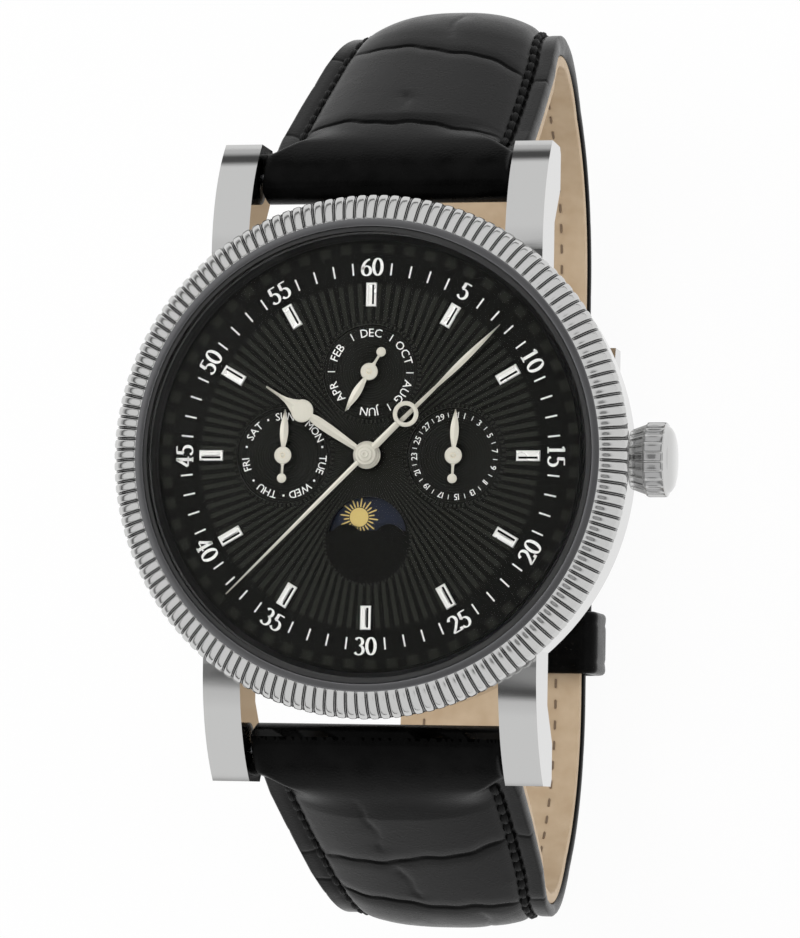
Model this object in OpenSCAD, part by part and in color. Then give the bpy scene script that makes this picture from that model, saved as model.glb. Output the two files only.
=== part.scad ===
// Wristwatch with calendar sub-dials, closed on its leather strap.
// The dial faces +Z, 12 o'clock is +Y and the crown is +X. The origin is on the dial's axis,
// in the plane that the buckle and the fixed keeper rest on.
// Watch-head heights are measured from the dial's top face, strap depths from the same plane.

/* [Case] */
// Outer diameter of the case middle
case_d = 42.8; // [42:0.1:43.4]
// Height of the case middle
case_h = 6.9; // [6.7:0.1:7.5]
// Outer diameter over the bezel's ribs
bezel_d = 44; // [43.5:0.1:46]
// Outer diameter of the smooth ring round the crystal
bezel_ring_d = 38.92; // [38.6:0.02:39.4]
// Width of the bezel's smooth ring
bezel_ring_w = 0.46; // [0.4:0.02:0.6]
// Height of the bezel's smooth ring above the dial
bezel_top = 1.83; // [1.6:0.05:2.2]
// Height of the ribs' outer edge above the dial
bezel_edge_top = 0.5; // [0.3:0.05:0.9]
// Number of ribs on the bezel
rib_count = 144; // [120:4:160]
// Width of the groove between two ribs
rib_gap = 0.3; // [0.2:0.02:0.4]
// Depth of the groove between two ribs
rib_depth = 0.32; // [0.2:0.02:0.4]
// Thickness of the case back
back_t = 1.9; // [1.7:0.1:2.4]
// Diameter of the case back
back_d = 40; // [39:0.5:41]
// How far the case back covers the winding rotor's rim
window_cover = 0.5; // [0.3:0.1:1.5]

/* [Lugs] */
// Gap between a pair of lugs, the strap's fitted width
lug_gap = 22; // [21.5:0.5:22.5]
// Width of one lug
lug_w = 3.2; // [2.8:0.1:3.4]
// How far a lug reaches past the case wall
lug_reach = 5.8; // [5.6:0.1:6.6]
// Step from the case's top edge down to a lug's top face
lug_step = 0.9; // [0.7:0.1:1.1]
// Drop of the lug's top face from the case to its tip
lug_drop = 4.2; // [4:0.1:4.5]
// Radius of the curve in the lug's top face
lug_curve_r = 13.5; // [13:0.5:15]
// Height of the lug's end face
lug_end_h = 4.2; // [3.8:0.1:4.4]
// Distance of the spring bar's axis from the lug's tip
bar_inset = 2.8; // [2.4:0.1:3]
// Depth of the spring bar's axis under the dial
bar_depth = 6.8; // [6.5:0.1:7]

/* [Dial side] */
// Width of the dial's rim that the bezel covers
dial_rim_w = 0.55; // [0.5:0.05:0.7]
// Width of the case's ledge under the dial
dial_ledge_w = 1.05; // [0.9:0.05:1.2]
// Thickness of the dial
dial_t = 0.4; // [0.3:0.05:0.5]
// Width of the rehaut at the dial
rehaut_w = 0.9; // [0.8:0.05:1]
// Height of the rehaut
rehaut_h = 0.9; // [0.8:0.05:1]
// Thickness of the crystal at its edge
crystal_edge_t = 1.3; // [1.2:0.05:1.6]
// Rise of the crystal's dome
crystal_rise = 1.2; // [1:0.05:1.5]
// Thickness of the crystal at its centre
crystal_t = 1.1; // [1:0.05:1.2]
// Distance of the 3 and 9 o'clock sub-dials from the centre
side_dial_x = 7.25; // [7.2:0.05:7.4]
// Distance of the 12 o'clock sub-dial from the centre
month_dial_y = 7.0; // [6.9:0.05:7.2]
// Distance of the day and night disc's axis from the centre
moon_y = 7.1; // [7:0.05:7.2]
// Diameter of a sub-dial
sub_dial_d = 8.1; // [7.8:0.1:8.2]
// Depth of a sub-dial below the dial
sub_dial_depth = 0.1; // [0.05:0.01:0.15]
// Radius where the hour batons start
baton_r = 12.5; // [12.3:0.1:12.8]
// Length of an hour baton
baton_l = 2; // [1.8:0.1:2.4]
// Width of an hour baton
baton_w = 0.88; // [0.7:0.02:1]
// Height of an hour baton
baton_h = 0.3; // [0.2:0.05:0.35]

/* [Hands] */
// Thickness of the hands
hand_t = 0.15; // [0.12:0.01:0.16]
// Length of the hour hand
hour_l = 10.4; // [10:0.1:10.8]
// Length of the minute hand
minute_l = 15.5; // [15:0.1:16]
// Length of the second hand
second_l = 16.5; // [16:0.1:16.8]
// Length of the calendar hands
small_l = 3.85; // [3.4:0.05:3.9]
// Angle of the hour hand, clockwise from 12
hour_angle = 303.4; // [0:0.1:360]
// Angle of the minute hand
minute_angle = 45.8; // [0:0.1:360]
// Angle of the second hand
second_angle = 225; // [0:0.5:360]
// Angle of the month hand
month_angle = 211; // [0:0.5:360]
// Angle of the weekday and date hands
day_angle = 2; // [0:0.5:360]

/* [Works] */
// Width of the ring that holds the works in the case
works_ring_w = 1.9; // [1.7:0.1:2.1]
// Thickness of the mainplate
plate_t = 1.2; // [1.1:0.05:1.3]
// Thickness of the bridges
bridge_t = 0.7; // [0.6:0.05:0.8]
// Thickness of a wheel
wheel_t = 0.2; // [0.16:0.01:0.22]
// Free height between two wheels
layer_gap = 0.1; // [0.08:0.01:0.12]
// Running clearance of a shaft in its hole, on the radius
run_gap = 0.05; // [0.03:0.005:0.06]
// Tooth size of the hand-setting wheels
motion_module = 0.14; // [0.138:0.001:0.142]
// Tooth size of the barrel and the centre pinion
barrel_module = 0.14; // [0.138:0.001:0.142]
// Distance of the third wheel's axis from the centre
third_dist = 5.4; // [5.35:0.01:5.45]
// Tooth size of the second wheel and the escape pinion
second_module = 0.12; // [0.119:0.0005:0.121]
// Tip radius of the escape wheel
escape_r = 2.1; // [2:0.05:2.15]
// Outer radius of the balance wheel
balance_r = 3.4; // [3.2:0.05:3.5]
// Gap between the winding rotor and the ring round the works
rotor_gap = 0.5; // [0.3:0.1:1]
// Height of the barrel drum
barrel_h = 1.6; // [1.5:0.05:1.7]

/* [Crown] */
// Largest diameter of the crown
crown_d = 6.24; // [6:0.02:6.4]
// Diameter of the crown beside the case
crown_base_d = 5; // [4.8:0.05:5.2]
// Length of the crown's cone
crown_cone_l = 1.33; // [1.2:0.01:1.4]
// Length of the crown's fluted stretch
crown_flute_l = 1.71; // [1.6:0.01:1.9]
// Length of the crown's rounded end
crown_end_l = 0.75; // [0.6:0.01:0.8]
// Number of flutes on the crown
flute_count = 24; // [20:1:28]
// Diameter of the winding stem
stem_d = 1.1; // [1:0.05:1.15]
// Travel of the crown when it is pulled out
crown_travel = 1.2; // [1:0.05:1.4]

/* [Strap] */
// Width of the strap at the buckle
strap_end_w = 18; // [17:0.5:18.5]
// Thickness of the strap at the lugs
strap_root_t = 4.4; // [4.2:0.1:4.6]
// Thickness of the strap at the buckle
strap_t = 2.6; // [2.4:0.05:2.8]
// Thickness of the lining
lining_t = 1; // [0.8:0.05:1.2]
// Depth of the lining's lowest stretch under the dial
loop_depth = 57; // [56:0.5:60]
// Straight length of each strap after its lug
strap_run = 26; // [25:0.5:27]
// Splay of the 12 o'clock strap from the vertical
upper_splay = 32.5; // [31:0.5:33]
// Splay of the 6 o'clock strap from the vertical
lower_splay = 28; // [26:0.5:29]
// Clear gap between the two strap layers
layer_space = 0.3; // [0.2:0.05:0.5]
// Thickness of the tail
tail_t = 2.4; // [2.2:0.05:2.6]
// Length of the tail beyond the watch's centre line
tail_l = 19.4; // [19:0.1:21]
// Diameter of the strap's holes
hole_d = 2.2; // [2:0.1:2.4]
// Spacing of the strap's holes
hole_step = 6.2; // [6:0.1:6.4]
// Length of the hole that the tang has stretched
tang_slot_l = 6.2; // [6:0.1:6.6]

/* [Buckle and keepers] */
// Width of a keeper along the strap
keeper_w = 6; // [5:0.5:6]
// Thickness of a keeper
keeper_t = 1.2; // [1:0.05:1.4]
// Clearance of a keeper round the strap
keeper_gap = 0.2; // [0.15:0.05:0.3]
// Place of the fixed keeper's middle along the strap
fixed_keeper_y = -1.5; // [-2:0.1:-1.2]
// Place of the sliding keeper's middle along the strap
slide_keeper_y = -13.2; // [-13.6:0.1:-12.8]
// Place of the buckle's pivot along the strap
pivot_y = 5; // [4.8:0.1:5.2]
// Distance from the buckle's pivot to its far bar
buckle_l = 9.5; // [9.2:0.1:10]
// Width of the buckle's far bar along the strap
buckle_bar_w = 2.2; // [2:0.1:2.4]
// Width of a buckle arm
buckle_arm_w = 1.9; // [1.6:0.1:2.2]
// Width of the tang
tang_w = 1.6; // [1.4:0.1:1.8]
// Thickness of the tang
tang_t = 1.25; // [1.1:0.05:1.3]

/* [Hidden] */
$fn = 96;
eps = 0.01;
seat = 0.02;

// Colours
steel = [0.80, 0.81, 0.82];
dark_steel = [0.45, 0.46, 0.48];
brass = [0.80, 0.66, 0.36];
leather = [0.06, 0.06, 0.065];
tan = [0.74, 0.62, 0.45];

// Case radii
case_r = case_d / 2;
bezel_bore_r = bezel_ring_d / 2 - bezel_ring_w;
dial_r = bezel_bore_r - dial_rim_w;
bore_r = dial_r - dial_ledge_w;
works_r = bore_r - works_ring_w;
rotor_r = works_r - rotor_gap;
window_r = rotor_r - window_cover;
ledge_r = dial_r + 0.15;
rehaut_bore_r = bezel_bore_r - rehaut_w;
gasket_w = 0.4;
crystal_r = bezel_bore_r - gasket_w - seat;
case_top = -0.3;
case_bottom = case_top - case_h;
back_bottom = case_bottom - back_t;
back_glass_r = window_r + 0.8;
back_glass_t = 1.1;
crystal_bottom = rehaut_h + seat;
crystal_step = 0.55;
crystal_shoulder = crystal_bottom + crystal_edge_t;
crystal_top = crystal_shoulder + crystal_rise;

// Longer than any piece, for cuts that go right through
past = 2 * case_d;

// The lugs start inside the case wall, outside its bore
tip_y = case_r + lug_reach;
bar_y = tip_y - bar_inset;
lug_root_y = sqrt(pow(bore_r + 0.5, 2) - pow(lug_gap / 2, 2));

// Heights of the dial-side layers, downwards from the dial
disc_z = -dial_t - layer_gap - wheel_t;
hour_wheel_z = disc_z - layer_gap - wheel_t;
day_wheel_z = hour_wheel_z - layer_gap - wheel_t;
minute_wheel_z = day_wheel_z - layer_gap - wheel_t;
plate_top = minute_wheel_z - 0.3;
plate_under = plate_top - plate_t;

// Heights of the train's layers, downwards from the mainplate
centre_wheel_z = plate_under - 0.15 - wheel_t;
barrel_top = centre_wheel_z - layer_gap;
barrel_rim_t = 0.3;
barrel_teeth_z = barrel_top - barrel_rim_t;
barrel_bottom = barrel_top - barrel_h;
third_wheel_z = barrel_teeth_z - 0.35 - wheel_t;
second_wheel_z = barrel_bottom - layer_gap - wheel_t;
bridge_top = barrel_bottom - layer_gap;
bridge_bottom = bridge_top - bridge_t;
train_bridge_top = second_wheel_z - layer_gap;
train_bridge_bottom = bridge_bottom - 0.15;
escape_wheel_z = centre_wheel_z - 0.45;
balance_z = escape_wheel_z - 0.9;
balance_rim_t = 0.4;
hairspring_z = balance_z - 0.36;
rotor_top = train_bridge_bottom - 0.4;
rotor_web_t = 0.3;
rotor_rim_t = 0.6;

// Heights of the hands
small_hand_z = 0.42;
hour_hand_z = 0.75;
minute_hand_z = hour_hand_z + hand_t + 0.15;
second_hand_z = minute_hand_z + hand_t + 0.15;

// Teeth
cannon_teeth = 12;
minute_teeth = 36;
minute_pinion_teeth = 10;
hour_teeth = 40;
day_teeth = 80;
barrel_teeth = 84;
centre_pinion_teeth = 12;
centre_teeth = 80;
third_pinion_teeth = 10;
third_teeth = 75;
second_pinion_teeth = 10;
second_teeth = 80;
escape_pinion_teeth = 8;
escape_teeth = 15;
ratchet_teeth = 60;
ratchet_module = 0.13;
click_reach = 5.2;
click_angle = 40;

// Axes of the works, as seen from the front
hour_dist = (minute_pinion_teeth + hour_teeth) * motion_module / 2;
day_dist = (minute_pinion_teeth + day_teeth) * motion_module / 2;
cannon_module = 2 * hour_dist / (cannon_teeth + minute_teeth);
minute_axis_y = (day_dist * day_dist - hour_dist * hour_dist - moon_y * moon_y) / (2 * moon_y);
minute_axis_x = sqrt(hour_dist * hour_dist - minute_axis_y * minute_axis_y);
minute_axis = [minute_axis_x, minute_axis_y];
moon_axis = [0, -moon_y];
barrel_dist = (barrel_teeth + centre_pinion_teeth) * barrel_module / 2;
barrel_axis = [0, barrel_dist];
barrel_r = barrel_teeth * barrel_module / 2 - 0.35;
third_angle = 212;
third_axis = third_dist * [cos(third_angle), sin(third_angle)];
centre_module = 2 * third_dist / (centre_teeth + third_pinion_teeth);
third_module = 2 * third_dist / (third_teeth + second_pinion_teeth);
escape_dist = (second_teeth + escape_pinion_teeth) * second_module / 2;
escape_angle = 300;
escape_axis = escape_dist * [cos(escape_angle), sin(escape_angle)];
pallet_angle = -30;
pallet_dist = escape_r / cos(30);
pallet_axis = escape_axis + pallet_dist * [cos(pallet_angle), sin(pallet_angle)];
fork_l = balance_r + 0.5;
fork_angle = -35;
balance_axis = pallet_axis + fork_l * [cos(fork_angle), sin(fork_angle)];
cock_foot = balance_axis + (balance_r + 1.9) * [cos(45), sin(45)];
foot_r = 1.5;
foot_inset = 3.3;
function foot_place(angle) = (works_r - foot_inset) * [cos(angle), sin(angle)];
bridge_feet = [foot_place(27), foot_place(153)];
train_feet = [foot_place(205), foot_place(263)];
screw_r = 0.38;
screw_head_r = 0.8;
screw_head_h = 0.3;
screw_l = 2.4;
centre_arbor_r = 0.4;
second_arbor_r = 0.16;
pipe_wall = 0.2;
arbor_r = 0.22;
pivot_r = 0.1;
jewel_r = 0.55;

// Pipes that carry the hands, one inside the other
cannon_r = centre_arbor_r + pipe_wall;
hour_bore_r = cannon_r + run_gap;
hour_pipe_r = hour_bore_r + pipe_wall;
dial_hole_r = hour_pipe_r + 0.15;
small_arbor_r = 0.2;
small_hole_r = small_arbor_r + run_gap;

// Crown
crown_z = case_top - case_h / 2;
crown_r = crown_d / 2;
crown_x = case_r + 0.15;
stem_r = stem_d / 2;
tube_bore_r = stem_r + run_gap;
tube_r = tube_bore_r + 0.55;
crown_cavity_r = tube_r + 0.35;
tube_out = 1.6;
crown_cavity_l = tube_out + 0.5;
stem_end_x = works_r - 6.9;
groove_x = works_r - 3.5;
groove_w = 0.5;
groove_r = stem_r - 0.2;
pinion_l = 1.2;
pinion_module = (stem_r + 0.05) / 4.9;

// Strap; a straight run reaches let_in past its end into the arc, a seam inside its faces
seam = 0.01;
let_in = 0.5;
root_r = strap_root_t / 2;
strap_bar_r = 0.75;
strap_root_w = lug_gap - 0.3;
taper_depth = 50;
outer_depth = loop_depth + strap_t + layer_space;
tail_depth = outer_depth + tail_t;
keeper_top = loop_depth - keeper_gap - keeper_t;
keeper_bottom = tail_depth + keeper_gap + keeper_t;
pivot_depth = loop_depth + strap_t / 2;
pivot_loop_r = strap_t / 2;
pivot_r_bar = 0.7;
pivot_clear = pivot_r_bar + 0.9;
tang_gap = 0.25;
far_bar_y = pivot_y + buckle_l;
arm_x = strap_end_w / 2 + 0.3;
tail_bend_top = far_bar_y - 1.5;
tail_bend_low = pivot_y + 0.6;
slot_y = pivot_y + 0.2;

// The dial's top face stands this high above the resting plane
dial_z = keeper_bottom;

// Teeth of a wheel, trapezoids with room between them
function tooth(i, n, m, turn) =
    let (pitch = 360 / n, a = turn + i * pitch, rt = n * m / 2 + 0.85 * m, rr = n * m / 2 - 1.1 * m)
    [[rr, a - 0.26 * pitch], [rt, a - 0.1 * pitch], [rt, a + 0.1 * pitch], [rr, a + 0.26 * pitch]];
function gear_points(n, m, turn) =
    [for (i = [0:n - 1]) for (p = tooth(i, n, m, turn)) p[0] * [cos(p[1]), sin(p[1])]];

// Turn of a wheel that meshes with one of z1 teeth standing at turn1, in direction psi from it
function mesh_turn(psi, turn1, z1, z2) = psi + 180 - (turn1 - psi) * z1 / z2 + 180 / z2;
function direction(a, b) = atan2(b[1] - a[1], b[0] - a[0]);

minute_turn = mesh_turn(direction([0, 0], minute_axis), 0, cannon_teeth, minute_teeth);
minute_pinion_turn = 0;
hour_turn = mesh_turn(direction(minute_axis, [0, 0]), minute_pinion_turn, minute_pinion_teeth,
                      hour_teeth);
day_turn = mesh_turn(direction(minute_axis, moon_axis), minute_pinion_turn,
                     minute_pinion_teeth, day_teeth);
barrel_turn = mesh_turn(90, 0, centre_pinion_teeth, barrel_teeth);
third_pinion_turn = mesh_turn(third_angle, 0, centre_teeth, third_pinion_teeth);
second_pinion_turn = mesh_turn(third_angle + 180, 0, third_teeth, second_pinion_teeth);
escape_pinion_turn = mesh_turn(escape_angle, 0, second_teeth, escape_pinion_teeth);

module wheel(n, m, t, turn) {
    linear_extrude(t)
        polygon(gear_points(n, m, turn));
}

module at(p, z = 0) {
    translate([p[0], p[1], z])
        children();
}

module ring(outer_r, inner_r, h) {
    difference() {
        cylinder(r = outer_r, h = h);
        translate([0, 0, -eps])
            cylinder(r = inner_r, h = h + 2 * eps);
    }
}

// A bar with round ends from a to b
module capsule(a, b, r) {
    d = (b - a) / norm(b - a);
    s = r * [-d[1], d[0]];
    polygon([a + s, a - s, b - s, b + s]);
    translate(a)
        circle(r = r);
    translate(b)
        circle(r = r);
}

// A leaf from y0 to y1 along +Y, whose half-width is w
module leaf(y0, y1, w) {
    l = y1 - y0;
    r = (l * l / 4 + w * w) / (2 * w);
    intersection() {
        translate([r - w, (y0 + y1) / 2])
            circle(r = r, $fn = 200);
        translate([w - r, (y0 + y1) / 2])
            circle(r = r, $fn = 200);
    }
}

// Spokes and rim cut out of a wheel: the openings between n spokes
module spoke_openings(hub_r, rim_r, n, w) {
    difference() {
        circle(r = rim_r);
        circle(r = hub_r);
        for (i = [0:n - 1])
            rotate(i * 360 / n)
                translate([-w / 2, 0])
                    square([w, rim_r + 1]);
    }
}

// Lifts the watch head's pieces to the dial's height
module head() {
    translate([0, 0, dial_z])
        children();
}

// Case

module lug_profile() {
    top = case_top - lug_step;
    arc_y = tip_y - sqrt(lug_curve_r * lug_curve_r - pow(lug_curve_r - lug_drop, 2));
    intersection() {
        polygon([[lug_root_y, top], [tip_y, top], [tip_y, top - lug_drop - lug_end_h + 0.5],
                 [tip_y - 0.6, top - lug_drop - lug_end_h], [tip_y - 3.6, top - lug_drop - lug_end_h],
                 [case_r - 1, case_bottom + 0.3], [lug_root_y, case_bottom + 0.3]]);
        union() {
            translate([arc_y, top - lug_curve_r])
                circle(r = lug_curve_r, $fn = 200);
            translate([0, top - past])
                square([arc_y, past]);
        }
    }
}

module lug(side_x, side_y) {
    x0 = side_x > 0 ? lug_gap / 2 : -lug_gap / 2 - lug_w;
    difference() {
        translate([x0, 0, 0])
            scale([1, side_y, 1])
                rotate([90, 0, 90])
                    linear_extrude(lug_w)
                        lug_profile();
        translate([0, 0, case_bottom - 5])
            cylinder(r = bore_r + 0.5, h = case_h + 10);
        translate([side_x * (lug_gap / 2 - 0.5), side_y * bar_y, -bar_depth])
            rotate([0, side_x * 90, 0])
                cylinder(r = 0.5, h = 0.5 + lug_w * 0.5);
    }
}

module case_middle() {
    head()
        color(steel)
            difference() {
                union() {
                    translate([0, 0, case_bottom])
                        cylinder(r = case_r, h = case_h);
                    for (sx = [-1, 1])
                        for (sy = [-1, 1])
                            lug(sx, sy);
                }
                translate([0, 0, case_bottom - eps])
                    cylinder(r = bore_r, h = case_h + 1);
                translate([0, 0, -dial_t - seat])
                    cylinder(r = ledge_r, h = case_h);
                translate([bore_r - 1, 0, crown_z])
                    rotate([0, 90, 0])
                        cylinder(r = tube_r, h = case_r);
            }
}

module bezel() {
    outer_r = bezel_d / 2;
    ring_r = bezel_ring_d / 2;
    slope = atan((bezel_top - bezel_edge_top) / (outer_r - ring_r));
    head()
        color(steel)
            difference() {
                rotate_extrude($fn = 180)
                    polygon([[bezel_bore_r, case_top], [outer_r - 0.35, case_top],
                             [outer_r, case_top + 0.3], [outer_r, bezel_edge_top - 0.2],
                             [outer_r - 0.2, bezel_edge_top + 0.05], [ring_r, bezel_top],
                             [bezel_bore_r, bezel_top]]);
                for (i = [0:rib_count - 1])
                    rotate((i + 0.5) * 360 / rib_count)
                        translate([ring_r + 0.1, -rib_gap / 2, bezel_top - rib_depth])
                            rotate([0, slope, 0])
                                cube([outer_r, rib_gap, rib_depth * 3]);
            }
}

module crystal_profile() {
    outer_dome = (crystal_r * crystal_r + crystal_rise * crystal_rise) / (2 * crystal_rise);
    inner_r = rehaut_bore_r - 0.1;
    inner_top = crystal_top - crystal_t;
    inner_rise = inner_top - crystal_bottom - crystal_step;
    inner_dome = (inner_r * inner_r + inner_rise * inner_rise) / (2 * inner_rise);
    difference() {
        intersection() {
            translate([0, crystal_bottom])
                square([crystal_r, crystal_top - crystal_bottom + 1]);
            translate([0, crystal_top - outer_dome])
                circle(r = outer_dome, $fn = 400);
        }
        translate([-eps, crystal_bottom - 1])
            square([inner_r + eps, 1 + crystal_step]);
        intersection() {
            translate([-eps, crystal_bottom])
                square([inner_r + eps, 5]);
            translate([0, inner_top - inner_dome])
                circle(r = inner_dome, $fn = 400);
        }
    }
}

module crystal() {
    head()
        color([0.85, 0.9, 0.95, 0.3])
            rotate_extrude($fn = 180)
                crystal_profile();
}

module crystal_gasket() {
    head()
        color([0.12, 0.12, 0.12])
            translate([0, 0, crystal_bottom])
                ring(bezel_bore_r, bezel_bore_r - gasket_w, bezel_top - crystal_bottom - 0.12);
}

module rehaut() {
    head()
        color([0.07, 0.07, 0.075])
            rotate_extrude($fn = 180)
                polygon([[rehaut_bore_r, 0], [bezel_bore_r - seat, 0], [bezel_bore_r - seat, rehaut_h],
                         [rehaut_bore_r + 0.4, rehaut_h]]);
}

module case_back() {
    rim_r = back_d / 2;
    head()
        color(steel)
            difference() {
                translate([0, 0, back_bottom])
                    union() {
                        translate([0, 0, 0.5])
                            cylinder(r = rim_r, h = back_t - 0.5);
                        cylinder(r1 = rim_r - 0.5, r2 = rim_r, h = 0.5);
                    }
                translate([0, 0, back_bottom - eps])
                    cylinder(r = window_r, h = back_t + 1);
                translate([0, 0, back_bottom + 0.4])
                    cylinder(r = back_glass_r, h = back_t + 1);
                translate([0, 0, case_bottom - 0.5])
                    ring(bore_r + 1.4, bore_r + 0.6, 1);
                for (i = [0:5])
                    rotate(i * 60)
                        translate([rim_r - 1.6, -1, back_bottom - eps])
                            cube([3, 2, 0.6]);
            }
}

module back_crystal() {
    head()
        color([0.85, 0.9, 0.95, 0.3])
            translate([0, 0, back_bottom + 0.4])
                cylinder(r = back_glass_r - seat, h = back_glass_t);
}

module back_gasket() {
    head()
        color([0.12, 0.12, 0.12])
            translate([0, 0, case_bottom - 0.5])
                ring(bore_r + 1.4 - seat, bore_r + 0.6 + seat, 0.5);
}

module crown_tube() {
    head()
        color(steel)
            translate([bore_r + 0.3, 0, crown_z])
                rotate([0, 90, 0])
                    ring(tube_r, tube_bore_r, case_r - bore_r - 0.3 + tube_out);
}

module spring_bars() {
    color(dark_steel)
        head()
            for (sy = [-1, 1])
                translate([0, sy * bar_y, -bar_depth])
                    rotate([0, 90, 0]) {
                        translate([0, 0, -lug_gap / 2 + 0.3])
                            cylinder(r = strap_bar_r, h = lug_gap - 0.6);
                        translate([0, 0, -lug_gap / 2 - 0.9])
                            cylinder(r = 0.45, h = lug_gap + 1.8);
                    }
}

// Dial side

module aperture() {
    arch_r = 3.3;
    floor_y = 0.85 - moon_y;
    hump_r = 1.3;
    difference() {
        intersection() {
            translate([0, -moon_y + 0.4])
                circle(r = arch_r);
            translate([-arch_r, floor_y])
                square(2 * arch_r);
        }
        for (side = [-1, 1])
            translate([side * 1.42 * hump_r, floor_y - 0.58 * hump_r])
                circle(r = hump_r);
    }
}

module sub_dial_places() {
    for (p = [[side_dial_x, 0], [-side_dial_x, 0], [0, month_dial_y]])
        translate(p)
            children();
}

module dial() {
    head()
        color([0.05, 0.05, 0.055])
            difference() {
                translate([0, 0, -dial_t])
                    cylinder(r = dial_r, h = dial_t, $fn = 180);
                translate([0, 0, -dial_t - 1])
                    cylinder(r = dial_hole_r, h = 2);
                translate([0, 0, -dial_t - 1])
                    linear_extrude(2)
                        aperture();
                sub_dial_places()
                    translate([0, 0, -sub_dial_depth])
                        cylinder(r = sub_dial_d / 2, h = 1);
                sub_dial_places()
                    translate([0, 0, -dial_t - 1])
                        cylinder(r = small_hole_r, h = 2);
            }
}

module hour_batons() {
    head()
        color(steel)
            for (i = [0:11])
                rotate(i * 30)
                    translate([-baton_w / 2, baton_r, 0])
                        cube([baton_w, baton_l, baton_h]);
}

module day_night_disc() {
    head()
        at(moon_axis) {
            color([0.05, 0.08, 0.2])
                translate([0, 0, disc_z])
                    cylinder(r = 4.1, h = wheel_t);
            color(brass)
                translate([0, 0, day_wheel_z])
                    wheel(day_teeth, motion_module, wheel_t, day_turn);
            color(dark_steel)
                translate([0, 0, plate_top - 0.6])
                    cylinder(r = 0.3, h = disc_z - plate_top + 0.6 + eps);
        }
}

module hour_hand() {
    head()
        color(steel)
            translate([0, 0, hour_hand_z])
                rotate(-hour_angle)
                    linear_extrude(hand_t)
                        difference() {
                            union() {
                                circle(r = hour_pipe_r + 0.3);
                                leaf(0.5, 7, 0.42);
                                translate([0, 6.7])
                                    circle(r = 0.96);
                                leaf(6.4, hour_l, 0.4);
                            }
                            circle(r = hour_pipe_r);
                        }
}

module minute_hand() {
    head()
        color(steel)
            translate([0, 0, minute_hand_z])
                rotate(-minute_angle)
                    linear_extrude(hand_t)
                        difference() {
                            union() {
                                circle(r = cannon_r + 0.4);
                                polygon([[-0.3, 0], [0.3, 0], [0.2, 8], [-0.2, 8]]);
                                leaf(7, minute_l, 0.28);
                            }
                            circle(r = cannon_r);
                        }
}

module second_hand() {
    ring_y = -4.75;
    head()
        color(steel)
            translate([0, 0, second_hand_z])
                rotate(-second_angle) {
                    linear_extrude(hand_t)
                        difference() {
                            union() {
                                circle(r = 0.9);
                                polygon([[-0.2, 0], [0.2, 0], [0.06, second_l], [-0.06, second_l]]);
                                translate([-0.2, ring_y + 0.8])
                                    square([0.4, -ring_y - 0.8]);
                                translate([0, ring_y])
                                    circle(r = 1.08);
                            }
                            circle(r = second_arbor_r);
                            translate([0, ring_y])
                                circle(r = 0.7);
                        }
                    translate([0, 0, hand_t])
                        cylinder(r = 0.55, h = 0.25);
                }
}

module small_hand(angle) {
    rotate(-angle)
        linear_extrude(hand_t)
            difference() {
                union() {
                    circle(r = 0.7);
                    leaf(0.3, small_l, 0.34);
                    leaf(-1.9, 0, 0.2);
                    translate([0, -1.9])
                        circle(r = 0.36);
                }
                circle(r = small_arbor_r);
            }
}

module month_hand() {
    head()
        color(steel)
            translate([0, month_dial_y, small_hand_z])
                small_hand(month_angle);
}

module weekday_hand() {
    head()
        color(steel)
            translate([-side_dial_x, 0, small_hand_z])
                small_hand(day_angle);
}

module date_hand() {
    head()
        color(steel)
            translate([side_dial_x, 0, small_hand_z])
                small_hand(day_angle);
}

// A star wheel under a sub-dial, on the arbor that carries its hand
module star(teeth, r) {
    translate([0, 0, hour_wheel_z])
        linear_extrude(wheel_t)
            polygon([for (i = [0:2 * teeth - 1])
                     (i % 2 == 0 ? r : r - min(0.45, 2.2 * r / teeth)) * [cos(i * 180 / teeth), sin(i * 180 / teeth)]]);
    translate([0, 0, plate_top - 0.6])
        cylinder(r = small_arbor_r, h = small_hand_z + hand_t - plate_top + 0.6);
}

module month_star() {
    head()
        color(brass)
            at([0, month_dial_y])
                star(12, 2.6);
}

module weekday_star() {
    head()
        color(brass)
            at([-side_dial_x, 0])
                star(7, 2.6);
}

module date_star() {
    head()
        color(brass)
            at([side_dial_x, 0])
                star(31, 2.8);
}

// Hand-setting wheels

module cannon_pinion() {
    head()
        color(steel)
            difference() {
                union() {
                    translate([0, 0, minute_wheel_z - 0.1])
                        wheel(cannon_teeth, cannon_module, wheel_t + 0.2, 0);
                    translate([0, 0, minute_wheel_z])
                        cylinder(r = cannon_r, h = minute_hand_z + hand_t - minute_wheel_z);
                }
                translate([0, 0, minute_wheel_z - 1])
                    cylinder(r = centre_arbor_r, h = 5);
            }
}

module minute_wheel() {
    head()
        at(minute_axis)
            color(brass) {
                translate([0, 0, minute_wheel_z])
                    wheel(minute_teeth, cannon_module, wheel_t, minute_turn);
                translate([0, 0, minute_wheel_z])
                    wheel(minute_pinion_teeth, motion_module, hour_wheel_z + wheel_t - minute_wheel_z,
                          minute_pinion_turn);
                translate([0, 0, plate_top - 0.6])
                    cylinder(r = arbor_r, h = minute_wheel_z - plate_top + 0.7);
            }
}

module hour_wheel() {
    head()
        color(brass)
            difference() {
                union() {
                    translate([0, 0, hour_wheel_z])
                        wheel(hour_teeth, motion_module, wheel_t, hour_turn);
                    translate([0, 0, hour_wheel_z])
                        cylinder(r = hour_pipe_r, h = hour_hand_z + hand_t - hour_wheel_z);
                }
                translate([0, 0, hour_wheel_z - 1])
                    cylinder(r = hour_bore_r, h = 5);
            }
}

// Plates and bridges

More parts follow.
